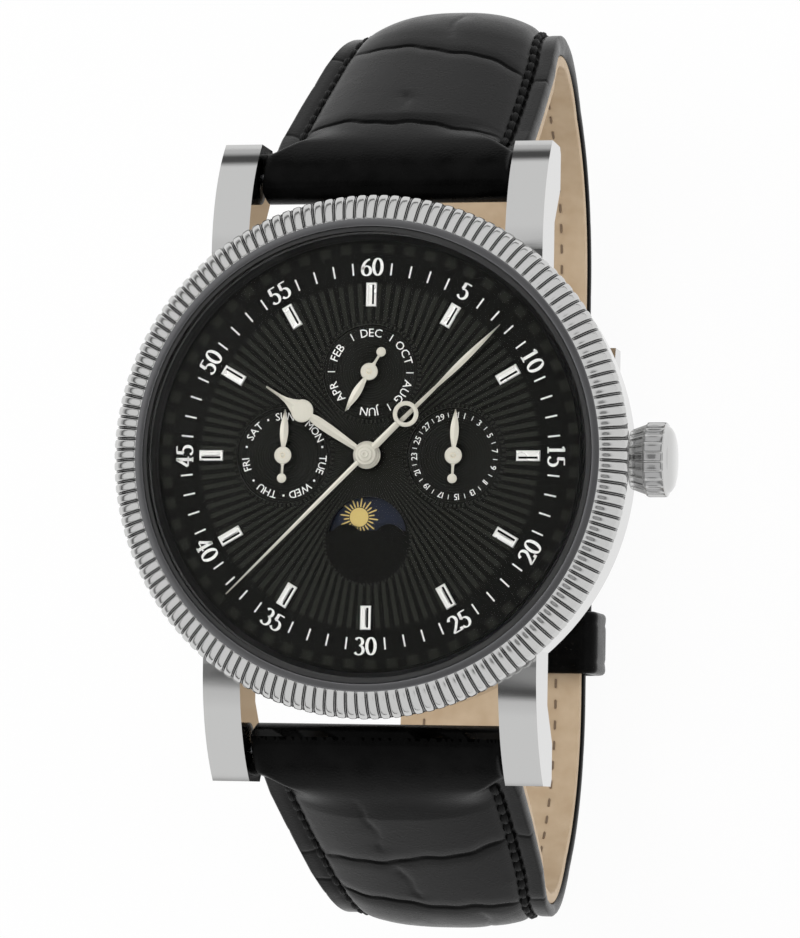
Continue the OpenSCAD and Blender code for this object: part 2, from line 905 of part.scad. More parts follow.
module movement_ring() {
    head()
        color([0.7, 0.7, 0.72])
            translate([0, 0, case_bottom])
                difference() {
                    ring(bore_r - seat, works_r + seat, -dial_t - seat - case_bottom);
                    translate([0, 0, crown_z - case_bottom])
                        rotate([0, 90, 0])
                            cylinder(r = stem_r + 0.3, h = bore_r + 1);
                }
}

module mainplate() {
    pivots = [third_axis, escape_axis, pallet_axis, balance_axis];
    head()
        color([0.78, 0.74, 0.62])
            difference() {
                translate([0, 0, plate_under])
                    cylinder(r = works_r, h = plate_t);
                translate([0, 0, plate_under - 1])
                    cylinder(r = centre_arbor_r + run_gap, h = 5);
                for (p = [minute_axis])
                    at(p, plate_top - 0.7)
                        cylinder(r = arbor_r + run_gap, h = 1);
                at(moon_axis, plate_top - 0.7)
                    cylinder(r = 0.3 + run_gap, h = 1);
                sub_dial_places()
                    translate([0, 0, plate_top - 0.7])
                        cylinder(r = small_hole_r, h = 1);
                for (p = pivots)
                    at(p, plate_under - 1)
                        cylinder(r = jewel_r, h = 5);
                at(barrel_axis, plate_under - 1)
                    cylinder(r = 0.6 + run_gap, h = 1.45);
                translate([stem_end_x - 0.2, 0, crown_z])
                    rotate([0, 90, 0])
                        cylinder(r = 8 * pinion_module, h = pinion_l + crown_travel + 0.9);
            }
}

module foot(p, top) {
    at(p, top)
        cylinder(r = foot_r, h = plate_under - top);
}

module screw_hole(p, top) {
    at(p, top - eps)
        cylinder(r = screw_head_r + 0.05, h = screw_head_h + 0.02);
    at(p, top - eps)
        cylinder(r = screw_r + 0.02, h = screw_l + 0.6);
}

module barrel_bridge() {
    head()
        color([0.82, 0.82, 0.83])
            difference() {
                union() {
                    translate([0, 0, bridge_bottom])
                        linear_extrude(bridge_t)
                            difference() {
                                intersection() {
                                    circle(r = works_r - 0.6);
                                    translate([-2 * works_r, 1.4])
                                        square([4 * works_r, 2 * works_r]);
                                }
                                circle(r = second_teeth * second_module / 2 + 0.4);
                            }
                    for (p = bridge_feet)
                        foot(p, bridge_bottom + bridge_t - eps);
                }
                at(barrel_axis, bridge_bottom - 1)
                    cylinder(r = 0.6 + run_gap, h = 5);
                for (p = bridge_feet)
                    screw_hole(p, bridge_bottom);
            }
}

module train_bridge() {
    head()
        color([0.82, 0.82, 0.83])
            difference() {
                union() {
                    translate([0, 0, train_bridge_bottom])
                        linear_extrude(train_bridge_top - train_bridge_bottom) {
                            capsule([0, 0], third_axis, 1.3);
                            capsule(third_axis, train_feet[0], 1.5);
                            capsule([0, 0], escape_axis, 1.3);
                            capsule(escape_axis, train_feet[1], 1.5);
                        }
                    for (p = train_feet)
                        foot(p, train_bridge_top - eps);
                }
                for (p = [[0, 0], third_axis, escape_axis])
                    at(p, train_bridge_bottom - 1)
                        cylinder(r = jewel_r, h = 5);
                for (p = train_feet)
                    screw_hole(p, train_bridge_bottom);
            }
}

module balance_cock() {
    head()
        color([0.82, 0.82, 0.83])
            difference() {
                union() {
                    translate([0, 0, bridge_bottom])
                        linear_extrude(bridge_t) {
                            capsule(cock_foot, balance_axis, 1.2);
                            capsule(balance_axis, pallet_axis, 0.8);
                        }
                    foot(cock_foot, bridge_bottom + bridge_t - eps);
                }
                for (p = [balance_axis, pallet_axis])
                    at(p, bridge_bottom - 1)
                        cylinder(r = jewel_r, h = 5);
                screw_hole(cock_foot, bridge_bottom);
            }
}

module screw(p, bottom) {
    at(p, bottom)
        difference() {
            union() {
                cylinder(r = screw_head_r, h = screw_head_h);
                cylinder(r = screw_r, h = screw_l);
            }
            translate([-1, -0.1, -eps])
                cube([2, 0.2, screw_head_h / 2]);
        }
}

module bridge_screws() {
    head()
        color([0.25, 0.3, 0.5]) {
            for (p = bridge_feet)
                screw(p, bridge_bottom);
            for (p = train_feet)
                screw(p, train_bridge_bottom);
            screw(cock_foot, bridge_bottom);
        }
}

module jewel(p, z, h) {
    at(p, z)
        ring(jewel_r, pivot_r + 0.03, h);
}

module jewels() {
    head()
        color([0.75, 0.1, 0.25]) {
            for (p = [third_axis, escape_axis, pallet_axis, balance_axis])
                jewel(p, plate_under, 0.4);
            for (p = [third_axis, escape_axis])
                jewel(p, train_bridge_bottom, train_bridge_top - train_bridge_bottom);
            jewel([0, 0], train_bridge_bottom, train_bridge_top - train_bridge_bottom);
            for (p = [balance_axis, pallet_axis])
                jewel(p, bridge_bottom, bridge_t);
        }
}

// A shaft between the mainplate and a bridge, with a thin pivot at each end
module arbor(bottom) {
    translate([0, 0, bottom + 0.08])
        cylinder(r = arbor_r, h = plate_under - bottom - 0.16);
    translate([0, 0, bottom - 0.4])
        cylinder(r = pivot_r, h = plate_under - bottom + 0.8);
}

// Going train

module barrel() {
    head()
        at(barrel_axis)
            color(brass)
                difference() {
                    union() {
                        translate([0, 0, barrel_teeth_z])
                            wheel(barrel_teeth, barrel_module, barrel_rim_t, barrel_turn);
                        translate([0, 0, barrel_bottom])
                            cylinder(r = barrel_r, h = barrel_h - eps);
                    }
                    translate([0, 0, barrel_bottom - eps])
                        cylinder(r = barrel_r - 0.3, h = barrel_h - 0.2);
                    translate([0, 0, barrel_bottom - 1])
                        cylinder(r = 0.6 + run_gap, h = 5);
                }
}

module barrel_cover() {
    head()
        at(barrel_axis, barrel_bottom)
            color(brass)
                ring(barrel_r - 0.3, 0.6 + run_gap, 0.2);
}

// One unbroken ribbon wound into a flat spiral
module spiral(r0, r1, turns, t, steps) {
    path = [for (i = [0:steps]) [r0 + (r1 - r0) * i / steps, i * turns * 360 / steps]];
    polygon(concat([for (p = path) (p[0] - t / 2) * [cos(p[1]), sin(p[1])]],
                   [for (i = [steps:-1:0]) (path[i][0] + t / 2) * [cos(path[i][1]), sin(path[i][1])]]));
}

module mainspring() {
    head()
        at(barrel_axis, barrel_bottom + 0.3)
            color([0.6, 0.6, 0.62])
                linear_extrude(barrel_h - 0.6)
                    spiral(1.35, barrel_r - 0.4, 7, 0.16, 168);
}

module barrel_arbor() {
    head()
        at(barrel_axis)
            color(dark_steel) {
                translate([0, 0, bridge_bottom - 0.25])
                    cylinder(r = 0.6, h = plate_under + 0.4 - bridge_bottom + 0.25);
                translate([0, 0, barrel_bottom + 0.3])
                    cylinder(r = 1.1, h = barrel_h - 0.6);
            }
}

module ratchet_wheel() {
    head()
        at(barrel_axis, bridge_bottom - 0.25)
            color(steel)
                difference() {
                    wheel(ratchet_teeth, ratchet_module, 0.2, 0);
                    translate([0, 0, -1])
                        cylinder(r = 0.6, h = 3);
                }
}

// The beak ends a hair outside the ratchet's teeth, on the side that holds the spring wound
module click() {
    click_at = barrel_axis + click_reach * [cos(click_angle), sin(click_angle)];
    tip_r = ratchet_module * (ratchet_teeth / 2 + 1) + 0.03;
    tip = barrel_axis + tip_r * [cos(click_angle + 16), sin(click_angle + 16)];
    beak = tip - click_at;
    side = 0.4 * [-beak[1], beak[0]] / norm(beak);
    head()
        color(steel)
            translate([0, 0, bridge_bottom - 0.25])
                difference() {
                    linear_extrude(0.2) {
                        polygon([click_at - side, tip, click_at + side]);
                        translate(click_at)
                            circle(r = 0.55);
                    }
                    at(click_at, -1)
                        cylinder(r = 0.2, h = 3);
                }
}

module centre_wheel() {
    head()
        color(brass)
            difference() {
                union() {
                    translate([0, 0, centre_wheel_z])
                        difference() {
                            wheel(centre_teeth, centre_module, wheel_t, 0);
                            translate([0, 0, -1])
                                linear_extrude(3)
                                    spoke_openings(1.3, centre_teeth * centre_module / 2 - 0.7, 5, 0.6);
                        }
                    translate([0, 0, barrel_teeth_z - 0.1])
                        wheel(centre_pinion_teeth, barrel_module, barrel_rim_t + 0.3, 0);
                    translate([0, 0, centre_wheel_z])
                        cylinder(r = centre_arbor_r, h = minute_hand_z + hand_t - centre_wheel_z);
                }
                translate([0, 0, barrel_teeth_z - 1])
                    cylinder(r = second_arbor_r + run_gap, h = 8);
            }
}

module third_wheel() {
    head()
        at(third_axis)
            color(brass) {
                translate([0, 0, third_wheel_z])
                    difference() {
                        wheel(third_teeth, third_module, wheel_t, 0);
                        translate([0, 0, -1])
                            linear_extrude(3)
                                spoke_openings(1.1, third_teeth * third_module / 2 - 0.7, 5, 0.5);
                    }
                translate([0, 0, centre_wheel_z - 0.05])
                    wheel(third_pinion_teeth, centre_module, wheel_t + 0.12, third_pinion_turn);
                arbor(train_bridge_top);
            }
}

module second_wheel() {
    head()
        color(brass) {
            translate([0, 0, second_wheel_z])
                difference() {
                    wheel(second_teeth, second_module, wheel_t, 0);
                    translate([0, 0, -1])
                        linear_extrude(3)
                            spoke_openings(1.1, second_teeth * second_module / 2 - 0.7, 5, 0.5);
                }
            translate([0, 0, third_wheel_z - 0.06])
                wheel(second_pinion_teeth, third_module, wheel_t + 0.12, second_pinion_turn);
            translate([0, 0, second_wheel_z])
                cylinder(r = second_arbor_r, h = second_hand_z + hand_t - second_wheel_z);
            translate([0, 0, train_bridge_top - 0.4])
                cylinder(r = pivot_r, h = 0.8);
        }
}

module escape_wheel() {
    blank_r = escape_r - 0.55;
    head()
        at(escape_axis)
            color(steel) {
                translate([0, 0, escape_wheel_z])
                    linear_extrude(wheel_t)
                        difference() {
                            polygon([for (i = [0:escape_teeth - 1])
                                     for (p = [[blank_r, 0], [blank_r, 15], [escape_r, 21], [escape_r, 22.6]])
                                     p[0] * [cos(i * 24 + p[1]), sin(i * 24 + p[1])]]);
                            spoke_openings(0.55, blank_r - 0.35, 4, 0.3);
                        }
                translate([0, 0, second_wheel_z - 0.05])
                    wheel(escape_pinion_teeth, second_module, wheel_t + 0.1, escape_pinion_turn);
                arbor(train_bridge_top);
            }
}

module pallet_fork() {
    span = 60;
    head()
        at(pallet_axis)
            rotate(fork_angle)
                color(steel) {
                    translate([0, 0, escape_wheel_z])
                        linear_extrude(wheel_t)
                            for (s = [-1, 1]) {
                                turn = 180 - fork_angle + pallet_angle + s * span;
                                capsule([0, 0], 1.16 * [cos(turn), sin(turn)], 0.12);
                                capsule([0, 0], [fork_l - 1.3, 0], 0.16);
                                capsule([fork_l - 1.3, 0], [fork_l - 0.95, s * 0.3], 0.1);
                            }
                    arbor(bridge_top);
                }
}

module balance_wheel() {
    head()
        at(balance_axis)
            color(brass) {
                translate([0, 0, balance_z])
                    difference() {
                        cylinder(r = balance_r, h = balance_rim_t);
                        translate([0, 0, -1])
                            linear_extrude(3)
                                spoke_openings(0.8, balance_r - 0.5, 3, 0.45);
                    }
                translate([0, 0, escape_wheel_z + 0.32])
                    cylinder(r = 0.5, h = 0.15);
                arbor(bridge_top);
            }
}

module hairspring() {
    head()
        at(balance_axis, hairspring_z)
            color([0.3, 0.4, 0.6])
                linear_extrude(0.15)
                    spiral(0.42, 2.4, 9, 0.05, 216);
}

// Automatic winding

module winding_rotor() {
    head()
        color([0.8, 0.8, 0.82])
            difference() {
                union() {
                    translate([0, 0, rotor_top - rotor_web_t])
                        linear_extrude(rotor_web_t) {
                            intersection() {
                                circle(r = rotor_r - 1);
                                translate([-rotor_r, -rotor_r])
                                    square([2 * rotor_r, rotor_r]);
                            }
                            circle(r = 3);
                        }
                    translate([0, 0, rotor_top - rotor_rim_t])
                        linear_extrude(rotor_rim_t)
                            intersection() {
                                difference() {
                                    circle(r = rotor_r);
                                    circle(r = rotor_r - 2.6);
                                }
                                translate([-rotor_r, -rotor_r])
                                    square([2 * rotor_r, rotor_r]);
                            }
                }
                translate([0, 0, rotor_top - 2])
                    cylinder(r = 1.6 + run_gap, h = 4);
            }
}

module rotor_bearing() {
    head()
        color(dark_steel)
            difference() {
                union() {
                    translate([0, 0, rotor_top - rotor_web_t - 0.1])
                        cylinder(r = 1.6, h = train_bridge_bottom - rotor_top + rotor_web_t + 0.1);
                    translate([0, 0, rotor_top - rotor_web_t - 0.25])
                        cylinder(r = 2.2, h = 0.2);
                }
                translate([-0.8, -0.15, rotor_top - rotor_web_t - 0.3])
                    cube([1.6, 0.3, 0.15]);
            }
}

// Crown and stem

module crown_frame() {
    head()
        translate([0, 0, crown_z])
            rotate([0, 90, 0])
                children();
}

module crown() {
    l = crown_cone_l + crown_flute_l;
    crown_frame()
        color(steel)
            translate([0, 0, crown_x])
                difference() {
                    union() {
                        cylinder(r1 = crown_base_d / 2, r2 = crown_r, h = crown_cone_l);
                        translate([0, 0, crown_cone_l])
                            cylinder(r = crown_r, h = crown_flute_l);
                        translate([0, 0, l])
                            cylinder(r1 = crown_r, r2 = crown_r - 0.6, h = crown_end_l);
                    }
                    for (i = [0:flute_count - 1])
                        rotate(i * 360 / flute_count)
                            translate([crown_r + 0.12, 0, -1])
                                cylinder(r = 0.3, h = l + 3, $fn = 24);
                    translate([0, 0, -1])
                        cylinder(r = crown_cavity_r, h = 1 + crown_cavity_l);
                    translate([0, 0, -1])
                        cylinder(r = stem_r, h = 1 + l);
                }
}

module crown_gasket() {
    crown_frame()
        color([0.12, 0.12, 0.12])
            translate([0, 0, crown_x + 0.35])
                ring(crown_cavity_r, tube_r + run_gap, 0.6);
}

module winding_stem() {
    crown_frame()
        color(dark_steel)
            difference() {
                translate([0, 0, stem_end_x])
                    cylinder(r = stem_r, h = crown_x + crown_cone_l + crown_flute_l - stem_end_x);
                translate([0, 0, groove_x])
                    ring(2, groove_r, groove_w);
            }
}

module sliding_pinion() {
    crown_frame()
        color(steel)
            translate([0, 0, stem_end_x + 0.3])
                difference() {
                    linear_extrude(pinion_l)
                        polygon(gear_points(12, pinion_module, 0));
                    translate([0, 0, -1])
                        cylinder(r = stem_r, h = 4);
                }
}

module setting_lever() {
    crown_frame()
        color(steel)
            translate([0, 0, groove_x + 0.06])
                linear_extrude(groove_w - 0.12)
                    difference() {
                        translate([-0.45, -0.8])
                            square([1.7, 3]);
                        circle(r = groove_r + run_gap);
                        translate([-2, -groove_r - run_gap])
                            square([2, 2 * (groove_r + run_gap)]);
                    }
}

// Strap
// A strap's side view lies in a plane with y to the right and the depth under the dial downwards.
// It runs straight from the spring bar, turns on one arc and then lies flat.

function strap_normal(splay) = [cos(splay), sin(splay)];
function strap_way(splay) = [sin(splay), -cos(splay)];
function inner_start(splay) = [bar_y, -bar_depth] - root_r * strap_normal(splay);
function inner_end(splay) = inner_start(splay) + strap_run * strap_way(splay);
function arc_radius(splay) = (loop_depth + inner_end(splay)[1]) / (1 + sin(splay));
function arc_centre(splay) = inner_end(splay) - arc_radius(splay) * strap_normal(splay);

// The layer between two offsets from the lining's inner face, without its flat stretch.
// The straight run ends inside the arc, a seam's depth below the arc's faces.
module strap_curve(splay, root_a, root_b, a, b) {
    n = strap_normal(splay);
    p0 = inner_start(splay);
    p1 = inner_end(splay);
    c = arc_centre(splay);
    r = arc_radius(splay);
    far = 3 * r;
    q = p1 + let_in * strap_way(splay);
    polygon([p0 + root_b * n, p0 + root_a * n, q + (a + seam) * n, q + (b - seam) * n]);
    intersection() {
        difference() {
            translate(c)
                circle(r = r + b, $fn = 240);
            translate(c)
                circle(r = r + a, $fn = 240);
        }
        polygon([c, c + far * n, c + [far, -far], c + [0, -far]]);
    }
}

// The flat stretch between two depths, let into the arc that it follows
module flat_layer(y0, y1, depth_a, depth_b) {
    translate([y0, -depth_b + seam])
        square([y1 - y0 + let_in, depth_b - depth_a - 2 * seam]);
}

// Cuts a side view to the strap's width, which narrows with depth
module strap_body(side_y) {
    w0 = strap_root_w / 2;
    w1 = strap_end_w / 2;
    head()
        intersection() {
            scale([1, side_y, 1])
                translate([-past / 2, 0, 0])
                    rotate([90, 0, 90])
                        linear_extrude(past)
                            children();
            translate([0, past, 0])
                rotate([90, 0, 0])
                    linear_extrude(2 * past)
                        polygon([[-w0, 0], [w0, 0], [w0, -bar_depth - 2], [w1, -taper_depth],
                                 [w1, -past], [-w1, -past], [-w1, -taper_depth], [-w0, -bar_depth - 2]]);
        }
}

module strap_root(splay) {
    difference() {
        union() {
            translate([bar_y, -bar_depth])
                circle(r = root_r - 2 * seat);
            children();
        }
        translate([bar_y, -bar_depth])
            circle(r = strap_bar_r);
    }
}

module tail_outline() {
    tip_r = strap_end_w / 2 * 1.1;
    translate([-lug_gap, -tail_l + tip_r])
        square([2 * lug_gap, past]);
    translate([0, -tail_l + tip_r])
        circle(r = tip_r);
}

module strap_holes() {
    head() {
        for (i = [-2:2])
            if (i != 0)
                translate([0, pivot_y + 2.8 + i * hole_step, -past])
                    cylinder(r = hole_d / 2, h = past - loop_depth / 2);
        translate([0, 0, -past])
            linear_extrude(past - loop_depth / 2)
                capsule([0, slot_y + hole_d / 2], [0, slot_y + tang_slot_l - hole_d / 2],
                        hole_d / 2);
    }
}

// The tail steps outwards between the buckle's far bar and its pivot
module tail_layer(a, b) {
    y0 = arc_centre(upper_splay)[0] + let_in;
    in_a = a + seam;
    in_b = b - seam;
    polygon([[y0, -loop_depth - in_a], [tail_bend_top, -loop_depth - in_a],
             [tail_bend_low, -outer_depth - in_a], [-tail_l, -outer_depth - in_a],
             [-tail_l, -outer_depth - in_b], [tail_bend_low, -outer_depth - in_b],
             [tail_bend_top, -loop_depth - in_b], [y0, -loop_depth - in_b]]);
}

module strap_upper() {
    color(leather)
        difference() {
            intersection() {
                strap_body(1)
                    difference() {
                        strap_root(upper_splay) {
                            strap_curve(upper_splay, lining_t, strap_root_t, lining_t, strap_t);
                            tail_layer(lining_t, tail_t);
                        }
                        strap_lining_shape(upper_splay);
                    }
                translate([0, 0, -past / 4])
                    linear_extrude(past + past / 4)
                        tail_outline();
            }
            strap_holes();
        }
}

module strap_lining_shape(splay) {
    strap_curve(splay, 0, lining_t, 0, lining_t);
}

module lining_upper() {
    color(tan)
        difference() {
            intersection() {
                strap_body(1)
                    difference() {
                        union() {
                            strap_lining_shape(upper_splay);
                            tail_layer(0, lining_t);
                        }
                        translate([bar_y, -bar_depth])
                            circle(r = strap_bar_r + 0.3);
                    }
                translate([0, 0, -past / 4])
                    linear_extrude(past + past / 4)
                        tail_outline();
            }
            strap_holes();
        }
}

module tang_opening() {
    head()
        translate([-tang_w / 2 - tang_gap, pivot_y - pivot_loop_r - 0.9, -loop_depth - 2 * strap_t])
            cube([tang_w + 2 * tang_gap, 4 * strap_t, 3 * strap_t]);
}

module pivot_loop() {
    translate([-pivot_y, -pivot_depth])
        circle(r = pivot_loop_r);
}

module strap_lower() {
    y0 = arc_centre(lower_splay)[0];
    color(leather)
        difference() {
            strap_body(-1)
                difference() {
                    strap_root(lower_splay) {
                        strap_curve(lower_splay, lining_t, strap_root_t, lining_t, strap_t);
                        flat_layer(-pivot_y, y0, loop_depth + lining_t, loop_depth + strap_t);
                        pivot_loop();
                    }
                    strap_lining_shape(lower_splay);
                    flat_layer(-pivot_y + pivot_clear, y0, loop_depth, loop_depth + lining_t);
                    translate([-pivot_y, -pivot_depth])
                        circle(r = pivot_r_bar);
                }
            tang_opening();
        }
}

module lining_lower() {
    y0 = arc_centre(lower_splay)[0];
    color(tan)
        difference() {
            strap_body(-1)
                difference() {
                    union() {
                        strap_lining_shape(lower_splay);
                        flat_layer(-pivot_y + pivot_clear, y0, loop_depth, loop_depth + lining_t);
                    }
                    translate([bar_y, -bar_depth])
                        circle(r = strap_bar_r + 0.3);
                }
            tang_opening();
        }
}

// Buckle and keepers

module keeper(y, lift) {
    inner_w = strap_end_w / 2 + keeper_gap;
    outer_w = inner_w + keeper_t;
    head()
        color(leather)
            translate([0, y + keeper_w / 2, 0])
                rotate([90, 0, 0])
                    linear_extrude(keeper_w)
                        difference() {
                            translate([-outer_w, -keeper_bottom + lift])
                                square([2 * outer_w, keeper_bottom - lift - keeper_top]);
                            translate([-inner_w, -tail_depth - keeper_gap])
                                square([2 * inner_w, tail_depth - loop_depth + 2 * keeper_gap]);
                        }
}

module fixed_keeper() {
    keeper(fixed_keeper_y, 0);
}

module sliding_keeper() {
    keeper(slide_keeper_y, 0.1);
}

module buckle() {
    bar_top = keeper_bottom - 3;
    notch = tang_w + 0.4;
    head()
        color(steel) {
            for (s = [-1, 1])
                translate([s * (arm_x + buckle_arm_w / 2) - buckle_arm_w / 2, 0, 0])
                    rotate([90, 0, 90])
                        linear_extrude(buckle_arm_w) {
                            translate([pivot_y, -pivot_depth])
                                circle(r = 1.5);
                            polygon([[pivot_y - 0.5, -pivot_depth + 1.4], [far_bar_y + buckle_bar_w / 2, -bar_top],
                                     [far_bar_y + buckle_bar_w / 2, -keeper_bottom],
                                     [far_bar_y - buckle_bar_w / 2, -keeper_bottom],
                                     [pivot_y - 0.5, -pivot_depth - 1.4]]);
                        }
            difference() {
                translate([-arm_x - 0.1, far_bar_y - buckle_bar_w / 2, -keeper_bottom])
                    cube([2 * arm_x + 0.2, buckle_bar_w, keeper_bottom - bar_top]);
                translate([-notch / 2, far_bar_y - 3, -keeper_bottom - 1])
                    cube([notch, 6, 1 + tang_t + 0.15]);
            }
            translate([-arm_x - 0.5, pivot_y, -pivot_depth])
                rotate([0, 90, 0])
                    cylinder(r = pivot_r_bar, h = 2 * arm_x + 1);
        }
}

module buckle_tang() {
    tip = [far_bar_y + buckle_bar_w / 2 - 0.3, -keeper_bottom + 0.1 + tang_t / 2];
    hub = [pivot_y, -pivot_depth];
    head()
        color(steel)
            translate([-tang_w / 2, 0, 0])
                rotate([90, 0, 90])
                    linear_extrude(tang_w)
                        difference() {
                            union() {
                                translate(hub)
                                    circle(r = pivot_loop_r);
                                polygon([hub + [0.3, -0.8 + tang_t], hub + [0.3, -0.8],
                                         [tip[0] - 3.2, tip[1] - tang_t / 2], [tip[0], tip[1] - tang_t / 2],
                                         [tip[0], tip[1] + tang_t / 2], [tip[0] - 3.2, tip[1] + tang_t / 2]]);
                            }
                            translate(hub)
                                circle(r = pivot_r_bar + run_gap);
                        }
}

case_middle();
bezel();
crystal();
crystal_gasket();
rehaut();
case_back();
back_crystal();
back_gasket();
crown_tube();
spring_bars();
dial();
hour_batons();
day_night_disc();
hour_hand();
minute_hand();
second_hand();
month_hand();
weekday_hand();
date_hand();
movement_ring();
mainplate();
barrel_bridge();
train_bridge();
balance_cock();
bridge_screws();
jewels();
barrel();
barrel_cover();
mainspring();
barrel_arbor();
ratchet_wheel();
click();
centre_wheel();
third_wheel();
second_wheel();
escape_wheel();
pallet_fork();
balance_wheel();
hairspring();
cannon_pinion();
minute_wheel();
hour_wheel();
month_star();
weekday_star();
date_star();
winding_rotor();
rotor_bearing();
winding_stem();
sliding_pinion();
setting_lever();
crown();
crown_gasket();
strap_upper();
lining_upper();
strap_lower();
lining_lower();
fixed_keeper();
sliding_keeper();
buckle();
buckle_tang();
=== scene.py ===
# %% [markdown]
# # A wristwatch on a leather strap
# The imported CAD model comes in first. It gives every piece its place, so nothing here is fitted by
# eye: the dial looks up along +Z, 12 o'clock is +Y, the crown is +X and the strap's loop hangs below
# the case. The visual pieces are worked out in millimetres and put into Blender in metres.

# %% The frame
import math
import numpy as np
import bpy
from mathutils import Matrix, Vector


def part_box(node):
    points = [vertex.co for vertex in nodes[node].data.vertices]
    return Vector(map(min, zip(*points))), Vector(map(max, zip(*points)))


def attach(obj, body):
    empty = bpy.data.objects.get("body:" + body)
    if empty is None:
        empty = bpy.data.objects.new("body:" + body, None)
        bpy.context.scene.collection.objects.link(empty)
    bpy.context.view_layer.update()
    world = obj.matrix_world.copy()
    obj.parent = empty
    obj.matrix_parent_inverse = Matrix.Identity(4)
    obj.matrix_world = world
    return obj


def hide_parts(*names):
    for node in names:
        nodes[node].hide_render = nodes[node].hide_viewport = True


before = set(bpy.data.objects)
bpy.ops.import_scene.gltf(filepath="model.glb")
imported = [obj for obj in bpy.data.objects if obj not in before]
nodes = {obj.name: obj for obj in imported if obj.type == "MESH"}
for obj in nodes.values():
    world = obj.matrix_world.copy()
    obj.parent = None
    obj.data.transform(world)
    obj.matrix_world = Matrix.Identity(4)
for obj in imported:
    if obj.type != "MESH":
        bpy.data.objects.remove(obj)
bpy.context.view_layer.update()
MM = 0.001
DIAL_Z = round(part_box("dial")[1].z / MM, 2)
print("nodes:", len(nodes), "dial plane:", DIAL_Z, "mm")

# %% [markdown]
# ## Surfaces from grids
# Nearly every piece here is a sheet of points on a grid with two parameters. One function turns such
# a grid into a mesh. It can close either direction, so the same function makes a tube, a ring or a
# plain sheet. Doing it with whole arrays is quicker than adding points one by one, and the shape's
# formula stays readable.

# %% The grid function
def grid_faces(nu, nv, wrap_u, wrap_v):
    """Quads between neighbours (i, j), (i+1, j), (i+1, j+1), (i, j+1) of a grid, as index rows."""
    i = np.arange(nu if wrap_u else nu - 1)
    j = np.arange(nv if wrap_v else nv - 1)
    a, b = np.meshgrid(i, j, indexing="ij")
    a, b = a.ravel(), b.ravel()
    an, bn = (a + 1) % nu, (b + 1) % nv
    return np.stack([a * nv + b, an * nv + b, an * nv + bn, a * nv + bn], 1)


def solid(name, parts, body, material, smooth=True):
    """One mesh from (points, faces) pairs in mm, where faces is a list of index arrays. A part whose
    signed volume, the sum of a.(b x c) / 6 over its faces, is negative has its faces turned round. The
    piece then rides on a body of the frame."""
    points, faces, first = [], [], 0
    for p, groups in parts:
        p = np.asarray(p, float).reshape(-1, 3)
        volume = sum((p[g[:, 0]] * np.cross(p[g[:, k]], p[g[:, k + 1]])).sum()
                     for g in groups for k in range(1, g.shape[1] - 1))
        points.append(p)
        faces += [(g if volume > 0 else g[:, ::-1]) + first for g in groups]
        first += len(p)
    co = np.concatenate(points) * MM
    mesh = bpy.data.meshes.new(name)
    mesh.vertices.add(len(co))
    mesh.vertices.foreach_set("co", co.ravel())
    sizes = np.concatenate([np.full(len(f), f.shape[1]) for f in faces])
    loops = np.concatenate([f.ravel() for f in faces])
    mesh.loops.add(len(loops))
    mesh.loops.foreach_set("vertex_index", loops.astype(np.int32))
    mesh.polygons.add(len(sizes))
    starts = np.concatenate([[0], np.cumsum(sizes)[:-1]])
    mesh.polygons.foreach_set("loop_start", starts.astype(np.int32))
    mesh.polygons.foreach_set("use_smooth", np.full(len(sizes), smooth))
    mesh.update(calc_edges=True)
    mesh.validate()
    piece = bpy.data.objects.new(name, mesh)
    bpy.context.scene.collection.objects.link(piece)
    if material:
        mesh.materials.append(material)
    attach(piece, body)
    return piece


def capped(p):
    """A tube's grid (rings by points) with its two end rings closed by fans to their middles."""
    nu, nv = p.shape[:2]
    j = np.arange(nv)
    low = np.stack([np.full(nv, nu * nv), j, (j + 1) % nv], 1)
    high = np.stack([np.full(nv, nu * nv + 1), (nu - 1) * nv + (j + 1) % nv, (nu - 1) * nv + j], 1)
    points = np.concatenate([p.reshape(-1, 3), p[0].mean(0)[None], p[-1].mean(0)[None]])
    return [(points, [grid_faces(nu, nv, False, True), np.concatenate([low, high])])]


def turned(profile, count):
    """A profile of (radius, height) rows turned about the dial's axis in count steps."""
    a = np.linspace(0, 2 * np.pi, count, endpoint=False)[:, None]
    r, z = profile[:, 0][None, :], profile[:, 1][None, :]
    return np.stack([r * np.cos(a), r * np.sin(a), z + 0 * a], 2)


def eased(q):
    """q^2 (3 - 2 q), with q held between 0 and 1."""
    q = np.clip(q, 0, 1)
    return q * q * (3 - 2 * q)


def clock(x, y, angle, centre=(0.0, 0.0)):
    """Turns x and y clockwise by an angle in degrees, as a dial counts, and moves them to a centre."""
    t = -np.radians(angle)
    return x * np.cos(t) - y * np.sin(t) + centre[0], x * np.sin(t) + y * np.cos(t) + centre[1]


def shade_faces(piece, index, *others):
    """Gives a piece more materials and each face the number of its own."""
    for material in others:
        piece.data.materials.append(material)
    piece.data.polygons.foreach_set("material_index", np.asarray(index).astype(np.int32))


# %% [markdown]
# ## The camera
# The photograph was taken from a little right of the dial's axis and a little below it, with a long
# lens. The three angles, the lens and the distance were fitted to the hour batons, the bezel and the
# lugs, so the render's outlines fall where the photograph's do.

# %% The camera
PHOTO_HEIGHT = 938      # pixels; the focal length below is in the same unit
SENSOR = 36.0           # mm


